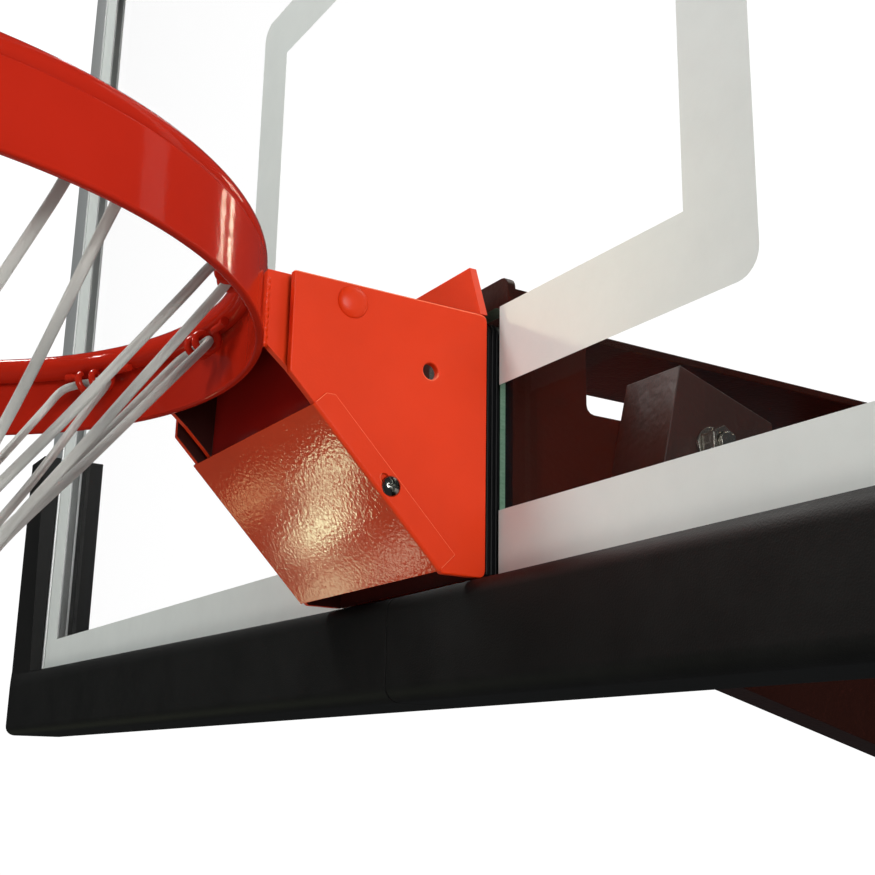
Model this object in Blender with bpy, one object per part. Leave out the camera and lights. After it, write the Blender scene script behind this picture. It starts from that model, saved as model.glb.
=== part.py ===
"""Glass-board basketball hoop: breakaway rim, net, padded board and its rear bracket.

Metres, +Z up. The rim reaches out along -Y, the board lies in the XZ plane and the
origin is the middle of the rear mounting plate's back face.
"""

import math

import bmesh
import bpy
from mathutils import Matrix, Vector

# Cutters run this far past what they cut, and joined solids this far into each other
PAST = 0.002
LAP = 0.001

# Board, seen from the front
BOARD_WIDTH = 1.829
BOARD_HEIGHT = 1.067
BOARD_BOTTOM = -0.217
GLASS_THICK = 0.012
SEAT_GAP = 0.0003

# Aluminium frame round the glass
FRAME_LIP = 0.0475
FRAME_LIP_THICK = 0.0027
GROOVE_DEPTH = 0.0112
FRAME_WALL = 0.003
FRAME_DEPTH = 0.0305
FRAME_BACK_FLANGE = 0.030

# Edge pad
PAD_THICK = 0.0207
PAD_LEG = 0.045
PAD_TOP = 0.100
PAD_ROUND = 0.011
PAD_JOINT_GAP = 0.0008
PAD_RELIEF_MARGIN = 0.010
PAD_RELIEF_TOP = -0.117

# Notch in the glass and the rubber pad that fills it
NOTCH_HALF = 0.089
NOTCH_TOP = 0.0005
NOTCH_ROUND = 0.006
NOTCH_PAD_GAP = 0.0040
NOTCH_PAD_TOP = -0.0085
NOTCH_PAD_BOTTOM = -0.168
NOTCH_PAD_ROUND = 0.010
NOTCH_PAD_REAR = 0.0137

# Rim housing: two cheeks on a back plate
CHEEK_OUTER = 0.0880
CHEEK_THICK = 0.005
CHEEK_FRONT = -0.1396
CHEEK_TOP = -0.0076
CHEEK_CHIN = -0.0673
CHEEK_ROUND = 0.004
HOUSING_REAR = -0.0086
HOUSING_BOTTOM = -0.1702
HOUSING_TOE = -0.0381
BACK_PLATE_THICK = 0.005
BACK_PLATE_EAR_TOP = 0.0276
BACK_PLATE_EAR_HALF = 0.0750
ACCESS_HOLE = (-0.0486, -0.0508)
ACCESS_HOLE_RADIUS = 0.0051

# Pivot of the breakaway rim
PIVOT_Y = -0.1021
PIVOT_Z = -0.0192
PIN_RADIUS = 0.0060
PIN_HEAD_RADIUS = 0.0098
PIN_HEAD_HEIGHT = 0.0036
RUNNING_GAP = 0.0005

# Cover sheet under the housing
COVER_THICK = 0.0015
COVER_FLANGE = 0.015
COVER_TOP_Y = -0.1239
COVER_TOE_Y = -0.0401
COVER_FLANGE_ROUND = 0.004
SCREW_SPOT_Y = -0.0789
SCREW_INSET = 0.0062
SCREW_RADIUS = 0.0024
SCREW_HEAD_RADIUS = 0.0047
SCREW_HEAD_HEIGHT = 0.0028
SCREW_LENGTH = 0.014
SCREW_SLOT = 0.006

# Bolts that hold the rim to the rear bracket
RIM_BOLT_X = 0.0508
RIM_BOLT_HIGH = -0.035
RIM_BOLT_LOW = -0.137
RIM_BOLT_RADIUS = 0.006
RIM_NUT_THICK = 0.010

# Shares of a hex bolt's shank radius, and how far a shank stands out of its nut
HEX_FLATS = 3.15
HEX_HEAD = 1.25
BOLT_CLEARANCE = 0.0004
BOLT_STICK_OUT = 0.0035

# Ring
RING_CENTRE_Y = -0.386
RING_TOP = -0.0055
RING_INNER = 0.2286
ROD_RADIUS = 0.0085
BAND_THICK = 0.005
BAND_BOTTOM = -0.0524
RING_STEPS = 64
WIRE_SIDES = 5
CURL_STEPS = 8

# Neck that joins the ring to the pivot
NECK_SIDE_GAP = 0.0045
NECK_PLATE = 0.005
NECK_TOP = -0.0068
NECK_EYE = 0.0123
NECK_CHIN = (-0.1367, -0.0628)
NECK_FOLD = (-0.1240, -0.0752)
NECK_TAIL = (-0.1122, -0.0879)
NECK_HEEL = (-0.0944, -0.0566)
NECK_LAP_ON_RING = 0.020
NECK_WALL_THICK = 0.0035
NECK_WALL_LEAN = 0.002

# Net hooks: wire coils welded under the rod
HOOK_COUNT = 12
HOOK_WIRE = 0.0023
HOOK_COIL = 0.0063
HOOK_PITCH = 0.0115
HOOK_TURNS = 2
HOOK_INSET = 0.0086
HOOK_DROP = 0.0165
HOOK_FOOT = 0.028
HOOK_FOOT_LENGTH = 0.008

# Net: radius and height where two cords meet, of each row of knots and of the hem
CORD_RADIUS = 0.0027
KNOT_RADIUS = 0.0048
NET_MEETING = (0.130, -0.150)
NET_ROWS = ((0.117, -0.196), (0.110, -0.254), (0.106, -0.312), (0.104, -0.370))
NET_HEM = (0.106, -0.428)
HEM_SHOULDER = 0.78
HEM_ROUND = 0.004

# Knee of a cord beside its coil: along the ring past the coil, down and in
CORD_LEAVES = 0.0055
CORD_BESIDE = 0.85
CORD_KNEE = (0.0085, 0.0090, 0.0050)

# Rear bracket and arms
WEB_FRONT = 0.014
WEB_THICK = 0.006
CHANNEL_HALF = 0.078
CHANNEL_TOP = 0.028
CHANNEL_ROUND = 0.007
FLANGE_DROP = 0.008
FLANGE_ROUND = 0.010
FLANGE_STEP_ROUND = 0.006
FLANGE_UPPER_REAR = 0.0765
FLANGE_STEP_Z = -0.0535
FLANGE_LOWER_REAR = 0.115
FLANGE_FOOT = -0.214
LUG_WIDTH = 0.052
LUG_THICK = 0.006
LUG_TOP = -0.150
LUG_BOLT_INSETS = (0.014, 0.039)
LUG_BOLT_Z = -0.200
LUG_BOLT_RADIUS = 0.004
LUG_BOLT_REACH = 0.007
BOX_OUTER = 0.130
BOX_WALL = 0.005
BOX_TOP_FRONT = (0.110, -0.028)
BOX_TOP_REAR = (0.190, -0.0534)
BOX_FOOT = (0.086, -0.130)
BOX_OPEN = 0.020
CLEVIS_Y = 0.133
CLEVIS_RADIUS = 0.006
ARM_WASHER_THICK = 0.0025
ARM_NUT_THICK = 0.0105
ARM_SIZE = 0.036
ARM_GAP = 0.0008
ARM_WALL = 0.003
ARM_START = 0.112
TIE_HALF = 0.050
TIE_BOTTOM = 0.009
TIE_THICK = 0.006
BRACE_HALF = 0.015
BRACE_TALL = 0.076
BRACE_KNEE = (0.250, -0.2095)
BRACE_SLOPE = -0.258
BRACE_WALL = 0.003

# Rear mounting plate: wide at the arms, narrow at the lower brace
MOUNT_FRONT = 0.500
MOUNT_THICK = 0.008
MOUNT_HALF = 0.130
MOUNT_TOP = 0.050
MOUNT_WAIST = -0.130
MOUNT_FOOT_HALF = 0.060
MOUNT_FOOT_TOP = -0.190
MOUNT_BOTTOM = -0.320
MOUNT_HOLE_INSET = 0.024
MOUNT_HOLE_RADIUS = 0.0065
MOUNT_ROUND = 0.012

# Finishes: colour, roughness, metallic, transmission
FINISHES = {
    "clear glass": ((0.86, 0.93, 0.90), 0.02, 0.0, 1.0),
    "brushed aluminium": ((0.55, 0.56, 0.56), 0.35, 1.0, 0.0),
    "black rubber": ((0.012, 0.012, 0.013), 0.45, 0.0, 0.0),
    "black foam": ((0.016, 0.016, 0.015), 0.72, 0.0, 0.0),
    "orange coat": ((0.80, 0.075, 0.020), 0.30, 0.0, 0.0),
    "red coat": ((0.58, 0.030, 0.012), 0.16, 0.0, 0.0),
    "brown coat": ((0.055, 0.016, 0.010), 0.38, 0.0, 0.0),
    "zinc plate": ((0.52, 0.51, 0.47), 0.28, 1.0, 0.0),
    "net cord": ((0.74, 0.71, 0.62), 0.85, 0.0, 0.0),
}

# Sizes that follow from the ones above
MOUNT_BACK = MOUNT_FRONT + SEAT_GAP + MOUNT_THICK
MOUNT_MIDDLE = (MOUNT_TOP + MOUNT_BOTTOM) / 2
ROD_CENTRE_RADIUS = RING_INNER + ROD_RADIUS
BAND_OUTER = ROD_CENTRE_RADIUS + ROD_RADIUS + 0.0004
HOOK_AXIS_RADIUS = ROD_CENTRE_RADIUS - HOOK_INSET
HOOK_AXIS_Z = -ROD_RADIUS - HOOK_DROP
ARM_OUTER = BOX_OUTER - BOX_WALL - ARM_GAP
ARM_INNER = ARM_OUTER - ARM_SIZE
CLEVIS_Z = BOX_TOP_REAR[1] - BOX_WALL * 1.1 - ARM_GAP - ARM_SIZE / 2
GLASS_HALF = BOARD_WIDTH / 2 - FRAME_LIP + GROOVE_DEPTH - 2 * SEAT_GAP
BOARD_TOP = BOARD_BOTTOM + BOARD_HEIGHT


def finish(name):
    """The material of a finish, made the first time it is asked for."""
    if name in bpy.data.materials:
        return bpy.data.materials[name]
    colour, roughness, metallic, transmission = FINISHES[name]
    mat = bpy.data.materials.new(name)
    mat.use_nodes = True
    shader = mat.node_tree.nodes["Principled BSDF"]
    shader.inputs["Base Color"].default_value = (*colour, 1.0)
    shader.inputs["Roughness"].default_value = roughness
    shader.inputs["Metallic"].default_value = metallic
    shader.inputs["Transmission Weight"].default_value = transmission
    return mat


def empty(name, parent, location):
    holder = bpy.data.objects.new(name, None)
    bpy.context.collection.objects.link(holder)
    holder.parent = parent
    holder.location = location
    return holder


def add_mesh(name, bm, coat, parent, location=(0, 0, 0), smooth=False):
    """Turn a bmesh into an object with outward faces."""
    bmesh.ops.recalc_face_normals(bm, faces=bm.faces)
    mesh = bpy.data.meshes.new(name)
    bm.to_mesh(mesh)
    bm.free()
    if smooth:
        mesh.shade_smooth()
        mesh.set_sharp_from_angle(angle=math.radians(35))
    return add_object(name, mesh, coat, parent, location)


def add_object(name, mesh, coat, parent, location=(0, 0, 0)):
    piece = bpy.data.objects.new(name, mesh)
    bpy.context.collection.objects.link(piece)
    piece.parent = parent
    piece.location = location
    if coat and not mesh.materials:
        mesh.materials.append(finish(coat))
    return piece


def arc(centre, radius, start, end, steps):
    """Points on a circle from one angle to another, in degrees."""
    points = []
    for i in range(steps + 1):
        angle = math.radians(start + (end - start) * i / steps)
        points.append((centre[0] + radius * math.cos(angle), centre[1] + radius * math.sin(angle)))
    return points


def rounded(corners, steps=4):
    """Closed outline from (u, v) or (u, v, fillet radius) corners."""
    points = []
    count = len(corners)
    for i, corner in enumerate(corners):
        here = Vector(corner[:2])
        if len(corner) == 2:
            points.append(tuple(here))
            continue
        before = (Vector(corners[i - 1][:2]) - here).normalized()
        after = (Vector(corners[(i + 1) % count][:2]) - here).normalized()
        half = math.acos(max(-1.0, min(1.0, before.dot(after)))) / 2
        inset = corner[2] / math.tan(half)
        middle = here + (before + after).normalized() * (corner[2] / math.sin(half))
        first = here + before * inset - middle
        last = here + after * inset - middle
        turn = math.atan2(first.x * last.y - first.y * last.x, first.dot(last))
        start = math.atan2(first.y, first.x)
        for k in range(steps + 1):
            angle = start + turn * k / steps
            points.append((middle.x + corner[2] * math.cos(angle), middle.y + corner[2] * math.sin(angle)))
    return points


def to_space(axis, along, u, v):
    """A point of an outline drawn across an axis: x takes (y, z), y takes (x, z), z takes (x, y)."""
    if axis == "x":
        return (along, u, v)
    if axis == "y":
        return (u, along, v)
    return (u, v, along)


def prism_mesh(bm, axis, outline, low, high):
    """Add an outline extruded along an axis to a bmesh."""
    verts = [bm.verts.new(to_space(axis, low, u, v)) for u, v in outline]
    face = bm.faces.new(verts)
    grown = bmesh.ops.extrude_face_region(bm, geom=[face])
    moved = [item for item in grown["geom"] if isinstance(item, bmesh.types.BMVert)]
    bmesh.ops.translate(bm, vec=to_space(axis, high - low, 0, 0), verts=moved)


def prism(name, axis, outline, low, high, coat, parent, location=(0, 0, 0)):
    bm = bmesh.new()
    prism_mesh(bm, axis, outline, low, high)
    return add_mesh(name, bm, coat, parent, location)


def box_outline(u_low, u_high, v_low, v_high):
    return [(u_low, v_low), (u_high, v_low), (u_high, v_high), (u_low, v_high)]


def circle_outline(u, v, radius, steps=20):
    return arc((u, v), radius, 0, 360, steps)[:-1]


def hexagon_outline(u, v, across_flats):
    return arc((u, v), across_flats / math.sqrt(3), 30, 390, 6)[:-1]


def turned(name, axis, profile, steps, coat, parent, location=(0, 0, 0)):
    """Solid turned round an axis through the origin, from (along, radius) points."""
    bm = bmesh.new()
    rings = []
    for along, radius in profile:
        if radius == 0:
            rings.append([bm.verts.new(to_space(axis, along, 0, 0))])
            continue
        outline = circle_outline(0, 0, radius, steps)
        rings.append([bm.verts.new(to_space(axis, along, u, v)) for u, v in outline])
    for one, two in zip(rings, rings[1:]):
        join_rings(bm, one, two)
    return add_mesh(name, bm, coat, parent, location, smooth=True)


def join_rings(bm, one, two):
    """Faces between two closed rows of points, either of which may be a single point."""
    steps = max(len(one), len(two))
    for i in range(steps):
        k = (i + 1) % steps
        corners = [one[i % len(one)], one[k % len(one)], two[k % len(two)], two[i % len(two)]]
        bm.faces.new(list(dict.fromkeys(corners)))


def hoop_solid(name, profile, coat, parent, location):
    """A closed (radius, z) profile carried once round the ring's axis."""
    bm = bmesh.new()
    rows = []
    for i in range(RING_STEPS):
        angle = 2 * math.pi * i / RING_STEPS
        row = [bm.verts.new((r * math.sin(angle), r * math.cos(angle), z)) for r, z in profile]
        rows.append(row)
    for i, row in enumerate(rows):
        join_rings(bm, row, rows[(i + 1) % RING_STEPS])
    return add_mesh(name, bm, coat, parent, location, smooth=True)


def tube_mesh(bm, points, radius, sides):
    """Add a round bar along a list of points to a bmesh, with its ends capped."""
    points = [Vector(p) for p in points]
    count = len(points)
    heading = (points[1] - points[0]).normalized()
    side = heading.orthogonal().normalized()
    rings = []
    for i, point in enumerate(points):
        ahead = (points[min(i + 1, count - 1)] - point).normalized()
        behind = (point - points[max(i - 1, 0)]).normalized()
        new_heading = (ahead + behind).normalized()
        side = (heading.rotation_difference(new_heading) @ side).normalized()
        heading = new_heading
        other = heading.cross(side)
        widen = 1 / max(0.5, heading.dot(ahead if ahead.length else behind))
        ring = []
        for k in range(sides):
            angle = 2 * math.pi * k / sides
            offset = side * math.cos(angle) + other * math.sin(angle)
            ring.append(bm.verts.new(point + offset * radius * widen))
        rings.append(ring)
    for one, two in zip(rings, rings[1:]):
        join_rings(bm, one, two)
    bm.faces.new(rings[0])
    bm.faces.new(rings[-1])


def cutter(name, axis, outline, low, high, parent, location=(0, 0, 0)):
    tool = prism(name, axis, outline, low, high, None, parent, location)
    tool.hide_render = True
    tool.display_type = "WIRE"
    return tool


def boolean(piece, tool, operation="DIFFERENCE"):
    step = piece.modifiers.new(tool.name, "BOOLEAN")
    step.operation = operation
    step.object = tool
    step.solver = "EXACT"
    tool.hide_render = True
    tool.display_type = "WIRE"


def frame_profile():
    """Frame section as (inward from the outer edge, y): front lip, glass groove and rear flange."""
    groove = FRAME_LIP - GROOVE_DEPTH
    behind = GLASS_THICK + SEAT_GAP
    back_of_groove = behind + FRAME_LIP_THICK
    return [
        (0, -FRAME_LIP_THICK - SEAT_GAP), (FRAME_LIP, -FRAME_LIP_THICK - SEAT_GAP),
        (FRAME_LIP, -SEAT_GAP), (groove, -SEAT_GAP), (groove, behind), (FRAME_LIP, behind),
        (FRAME_LIP, back_of_groove), (FRAME_WALL, back_of_groove),
        (FRAME_WALL, FRAME_DEPTH - FRAME_WALL), (FRAME_BACK_FLANGE, FRAME_DEPTH - FRAME_WALL),
        (FRAME_BACK_FLANGE, FRAME_DEPTH), (0, FRAME_DEPTH),
    ]


def mitred_rail(name, profile, start, end, inward, coat, parent):
    """A profile along one side of the board, cut at 45 degrees at both corners."""
    start = Vector((start[0], 0, start[1]))
    end = Vector((end[0], 0, end[1]))
    inward = Vector((inward[0], 0, inward[1]))
    along = (end - start).normalized()
    bm = bmesh.new()
    rings = []
    for corner, sign in ((start, 1), (end, -1)):
        ring = []
        for u, y in profile:
            place = corner + inward * u + along * sign * (u + SEAT_GAP / 2)
            ring.append(bm.verts.new((place.x, y, place.z)))
        rings.append(ring)
    join_rings(bm, rings[0], rings[1])
    bm.faces.new(rings[0])
    bm.faces.new(rings[1])
    return add_mesh(name, bm, coat, parent)


def build_board(parent):
    half = BOARD_WIDTH / 2
    glass_low = BOARD_BOTTOM + half - GLASS_HALF
    glass_high = BOARD_TOP - (half - GLASS_HALF)
    outline = rounded([
        (-GLASS_HALF, glass_low), (-NOTCH_HALF, glass_low), (-NOTCH_HALF, NOTCH_TOP, NOTCH_ROUND),
        (NOTCH_HALF, NOTCH_TOP, NOTCH_ROUND), (NOTCH_HALF, glass_low), (GLASS_HALF, glass_low),
        (GLASS_HALF, glass_high), (-GLASS_HALF, glass_high),
    ])
    prism("glass_pane", "y", outline, 0, GLASS_THICK, "clear glass", parent)

    profile = frame_profile()
    corners = {
        "bottom": ((-half, BOARD_BOTTOM), (half, BOARD_BOTTOM), (0, 1)),
        "top": ((-half, BOARD_TOP), (half, BOARD_TOP), (0, -1)),
        "left": ((-half, BOARD_BOTTOM), (-half, BOARD_TOP), (1, 0)),
        "right": ((half, BOARD_BOTTOM), (half, BOARD_TOP), (-1, 0)),
    }
    rails = {}
    for side, (start, end, inward) in corners.items():
        rails[side] = mitred_rail("frame_" + side, profile, start, end, inward, "brushed aluminium", parent)
    for x in lug_bolt_places():
        hole = circle_outline(x, LUG_BOLT_Z, LUG_BOLT_RADIUS + BOLT_CLEARANCE, 12)
        tool = cutter("frame_hole", "y", hole, FRAME_DEPTH - FRAME_WALL - PAST, FRAME_DEPTH + PAST, parent)
        boolean(rails["bottom"], tool)

    wide = NOTCH_HALF - NOTCH_PAD_GAP
    outline = rounded([
        (-wide, NOTCH_PAD_BOTTOM), (wide, NOTCH_PAD_BOTTOM),
        (wide, NOTCH_PAD_TOP, NOTCH_PAD_ROUND), (-wide, NOTCH_PAD_TOP, NOTCH_PAD_ROUND),
    ], 6)
    front = HOUSING_REAR + SEAT_GAP
    notch_pad = prism("notch_gasket", "y", outline, front, NOTCH_PAD_REAR, "black rubber", parent)
    cut_rim_bolt_holes(notch_pad, front - PAST, NOTCH_PAD_REAR + PAST, parent)


def pad_profile():
    """Pad section as (inward from the frame's outer edge, y): a U round the frame."""
    front = -FRAME_LIP_THICK - 2 * SEAT_GAP
    rear = FRAME_DEPTH + SEAT_GAP
    return rounded([
        (PAD_LEG, front), (PAD_LEG, front - PAD_THICK, PAD_ROUND * 0.5),
        (-PAD_THICK - SEAT_GAP, front - PAD_THICK, PAD_ROUND),
        (-PAD_THICK - SEAT_GAP, rear + PAD_THICK, PAD_ROUND),
        (PAD_LEG, rear + PAD_THICK, PAD_ROUND * 0.5), (PAD_LEG, rear),
        (-SEAT_GAP, rear), (-SEAT_GAP, front),
    ], 3)


def build_pads(parent):
    """Two L-shaped pads that meet under the rim and turn up the board's lower corners."""
    relief_half = CHANNEL_HALF + LUG_WIDTH + PAD_RELIEF_MARGIN
    relief = box_outline(-relief_half, relief_half, BOARD_BOTTOM - SEAT_GAP, PAD_RELIEF_TOP)
    relief_front = FRAME_DEPTH + SEAT_GAP / 2
    relief_rear = FRAME_DEPTH + PAD_THICK * 2
    for name, side in (("pad_left", -1), ("pad_right", 1)):
        bm = bmesh.new()
        rings = []
        for section in ("joint", "corner", "top"):
            ring = []
            for u, y in pad_profile():
                x = PAD_JOINT_GAP / 2 if section == "joint" else BOARD_WIDTH / 2 - u
                z = PAD_TOP if section == "top" else BOARD_BOTTOM + u
                ring.append(bm.verts.new((side * x, y, z)))
            rings.append(ring)
        join_rings(bm, rings[0], rings[1])
        join_rings(bm, rings[1], rings[2])
        bm.faces.new(rings[0])
        bm.faces.new(rings[2])
        pad = add_mesh(name, bm, "black foam", parent)
        boolean(pad, cutter(name + "_relief", "y", relief, relief_front, relief_rear, parent))


def lug_bolt_places():
    return [side * (CHANNEL_HALF + inset) for side in (-1, 1) for inset in LUG_BOLT_INSETS]


def rim_bolt_places():
    return [(side * RIM_BOLT_X, z) for z in (RIM_BOLT_HIGH, RIM_BOLT_LOW) for side in (-1, 1)]


def cut_rim_bolt_holes(piece, low, high, parent):
    for x, z in rim_bolt_places():
        hole = circle_outline(x, z, RIM_BOLT_RADIUS + BOLT_CLEARANCE, 16)
        boolean(piece, cutter(piece.name + "_bolt_hole", "y", hole, low, high, parent))


def cheek_slope():
    """Unit vector down the cheeks' slanted front edge, as (y, z)."""
    return (Vector((HOUSING_TOE, HOUSING_BOTTOM)) - Vector((CHEEK_FRONT, CHEEK_CHIN))).normalized()


def on_slope(y, away=0.0):
    """Point of the slanted edge at a given y, moved away from the housing."""
    slope = cheek_slope()
    start = Vector((CHEEK_FRONT, CHEEK_CHIN))
    point = start + slope * ((y - CHEEK_FRONT) / slope.x)
    return point + Vector((slope.y, -slope.x)) * away


def screw_spot():
    """Where the cover screws sit, a little inside the slanted edge, as (y, z)."""
    return on_slope(SCREW_SPOT_Y, -SCREW_INSET)


def build_housing(parent):
    outline = rounded([
        (CHEEK_FRONT, CHEEK_TOP), (CHEEK_FRONT, CHEEK_CHIN), (HOUSING_TOE, HOUSING_BOTTOM),
        (HOUSING_REAR, HOUSING_BOTTOM, CHEEK_ROUND), (HOUSING_REAR, CHEEK_TOP, CHEEK_ROUND),
    ], 3)
    cheek_inner = CHEEK_OUTER - CHEEK_THICK
    spot = screw_spot()
    for name, side in (("cheek_left", -1), ("cheek_right", 1)):
        low, high = sorted((side * cheek_inner, side * CHEEK_OUTER))
        cheek = prism(name, "x", outline, low, high, "orange coat", parent)
        holes = (
            ("pin", PIVOT_Y, PIVOT_Z, PIN_RADIUS + BOLT_CLEARANCE, 20),
            ("access", *ACCESS_HOLE, ACCESS_HOLE_RADIUS, 20),
            ("screw", spot.x, spot.y, SCREW_RADIUS + BOLT_CLEARANCE, 12),
        )
        for label, y, z, radius, steps in holes:
            hole = circle_outline(y, z, radius, steps)
            boolean(cheek, cutter(name + "_" + label, "x", hole, low - PAST, high + PAST, parent))

    body_half = cheek_inner - SEAT_GAP
    ear_foot = CHEEK_TOP + SEAT_GAP
    outline = [
        (-body_half, HOUSING_BOTTOM), (body_half, HOUSING_BOTTOM), (body_half, ear_foot),
        (CHEEK_OUTER, ear_foot), (BACK_PLATE_EAR_HALF, BACK_PLATE_EAR_TOP),
        (-BACK_PLATE_EAR_HALF, BACK_PLATE_EAR_TOP), (-CHEEK_OUTER, ear_foot), (-body_half, ear_foot),
    ]
    back_front = HOUSING_REAR - BACK_PLATE_THICK
    back_plate = prism("back_plate", "y", outline, back_front, HOUSING_REAR, "orange coat", parent)
    cut_rim_bolt_holes(back_plate, back_front - PAST, HOUSING_REAR + PAST, parent)

    build_pivot_pin(parent)
    build_cover(parent)


def build_pivot_pin(parent):
    """Headed pin through both cheeks, with a domed head at each end."""
    shoulder = CHEEK_OUTER + SEAT_GAP
    dome = arc((0, 0), 1, 0, 90, 4)
    rim = shoulder + PIN_HEAD_HEIGHT * 0.25
    head = [(rim + PIN_HEAD_HEIGHT * v, PIN_HEAD_RADIUS * u) for u, v in dome[:-1]]
    right = [(0.0, PIN_RADIUS), (shoulder, PIN_RADIUS), (shoulder, PIN_HEAD_RADIUS), *head,
             (rim + PIN_HEAD_HEIGHT, 0)]
    left = [(-along, radius) for along, radius in reversed(right)]
    turned("pivot_pin", "x", left[:-1] + right[1:], 20, "orange coat", parent, (0, PIVOT_Y, PIVOT_Z))


def build_cover(parent):
    """Folded sheet over the slanted mouth, with a flange screwed to each cheek."""
    slope = cheek_slope()
    inner = CHEEK_OUTER + SEAT_GAP
    outer = inner + COVER_THICK
    away = SEAT_GAP + COVER_THICK
    inward = Vector((-slope.y, slope.x))
    fold = COVER_THICK * 1.6
    section = rounded([
        (-outer, 0, fold), (outer, 0, fold), (outer, COVER_FLANGE), (inner, COVER_FLANGE),
        (inner, COVER_THICK), (-inner, COVER_THICK), (-inner, COVER_FLANGE), (-outer, COVER_FLANGE),
    ], 3)
    bm = bmesh.new()
    ends = []
    for y in (COVER_TOP_Y, COVER_TOE_Y):
        start = on_slope(y, away)
        ring = []
        for x, height in section:
            place = start + inward * height
            ring.append(bm.verts.new((x, place.x, place.y)))
        ends.append(ring)
    join_rings(bm, ends[0], ends[1])
    bm.faces.new(ends[0])
    bm.faces.new(ends[1])
    sheet = add_mesh("cover_plate", bm, "orange coat", parent)

    spot = screw_spot()
    tip = on_slope(COVER_TOP_Y, away) + inward * COVER_FLANGE
    along = slope * COVER_FLANGE_ROUND
    across = inward * COVER_FLANGE_ROUND
    snip = [tuple(tip - along + across), tuple(tip + along + across), tuple(tip + along),
            tuple(tip - across), tuple(tip - across - along)]
    upward = -slope * SCREW_SLOT
    heading = math.degrees(math.atan2(slope.y, slope.x))
    half = SCREW_RADIUS + BOLT_CLEARANCE
    slot = arc(spot, half, heading - 90, heading + 90, 6)
    slot += arc(spot + upward, half, heading + 90, heading + 270, 6)
    for name, side in (("left", -1), ("right", 1)):
        low, high = sorted((side * (inner - PAST), side * (outer + PAST)))
        boolean(sheet, cutter("cover_slot_" + name, "x", slot, low, high, parent))
        boolean(sheet, cutter("cover_snip_" + name, "x", snip, low, high, parent))
        build_cover_screw(name, side, outer + SEAT_GAP, spot, parent)


def build_cover_screw(name, side, seat, spot, parent):
    dome = arc((0, 0), 1, 0, 90, 3)
    head = [(seat + SCREW_HEAD_HEIGHT * (0.3 + 0.7 * v), SCREW_HEAD_RADIUS * u) for u, v in dome[:-1]]
    profile = [(seat - SCREW_LENGTH, 0), (seat - SCREW_LENGTH, SCREW_RADIUS), (seat, SCREW_RADIUS),
               (seat, SCREW_HEAD_RADIUS), *head, (seat + SCREW_HEAD_HEIGHT, 0)]
    profile = [(side * along, radius) for along, radius in profile]
    turned("cover_screw_" + name, "x", profile, 12, "zinc plate", parent, (0, spot.x, spot.y))


def hex_bolt(name, axis, seat, head_side, radius, length, coat, parent, location):
    """Hex-headed bolt. The shank runs away from the head, which stands on the seat."""
    bm = bmesh.new()
    head = sorted((seat, seat + head_side * radius * HEX_HEAD))
    prism_mesh(bm, axis, hexagon_outline(0, 0, radius * HEX_FLATS), *head)
    bolt = add_mesh(name, bm, coat, parent, location)
    shank = sorted((seat + head_side * LAP, seat - head_side * length))
    rod = prism(name + "_shank", axis, circle_outline(0, 0, radius, 14), *shank, None, parent, location)
    boolean(bolt, rod, "UNION")
    return bolt


def hex_nut(name, axis, low, thick, radius, coat, parent, location):
    outline = hexagon_outline(0, 0, radius * HEX_FLATS)
    nut = prism(name, axis, outline, low, low + thick, coat, parent, location)
    bore = circle_outline(0, 0, radius + SEAT_GAP, 14)
    boolean(nut, cutter(name + "_bore", axis, bore, low - PAST, low + thick + PAST, parent, location))
    return nut


def washer(name, axis, low, thick, inner, outer, coat, parent, location):
    ring = prism(name, axis, circle_outline(0, 0, outer, 20), low, low + thick, coat, parent, location)
    bore = circle_outline(0, 0, inner, 14)
    boolean(ring, cutter(name + "_bore", axis, bore, low - PAST, low + thick + PAST, parent, location))
    return ring


def build_rim_bolts(parent):
    seat = HOUSING_REAR - BACK_PLATE_THICK - SEAT_GAP
    nut_seat = WEB_FRONT + WEB_THICK + SEAT_GAP
    for i, (x, z) in enumerate(rim_bolt_places(), 1):
        place = (x, 0, z)
        length = nut_seat - seat + RIM_NUT_THICK + BOLT_STICK_OUT
        hex_bolt("rim_bolt_%d" % i, "y", seat, -1, RIM_BOLT_RADIUS, length, "zinc plate", parent, place)
        hex_nut("rim_nut_%d" % i, "y", nut_seat, RIM_NUT_THICK, RIM_BOLT_RADIUS, "zinc plate",
                parent, place)


def ring_point(radius, tangent, z):
    """Point of the ring, from its axis, by arc length round from the side that faces the board."""
    angle = tangent / radius
    return (radius * math.sin(angle), radius * math.cos(angle), z)


def build_ring(parent, centre):
    rod = circle_outline(ROD_CENTRE_RADIUS, -ROD_RADIUS, ROD_RADIUS, 12)
    hoop_solid("ring_rod", rod, "red coat", parent, centre)

    clear = ROD_RADIUS + SEAT_GAP
    reach = math.degrees(math.acos((BAND_OUTER - BAND_THICK - ROD_CENTRE_RADIUS) / clear))
    steps = 6
    outside = clear / math.cos(math.radians(reach / steps / 2))
    saddle = arc((ROD_CENTRE_RADIUS, -ROD_RADIUS), outside, 0, -reach, steps)[1:]
    band = [(BAND_OUTER, BAND_BOTTOM), (BAND_OUTER, -ROD_RADIUS), *saddle,
            (BAND_OUTER - BAND_THICK, BAND_BOTTOM)]
    hoop_solid("ring_band", band, "red coat", parent, centre)
    build_hooks(parent, centre)


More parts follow.
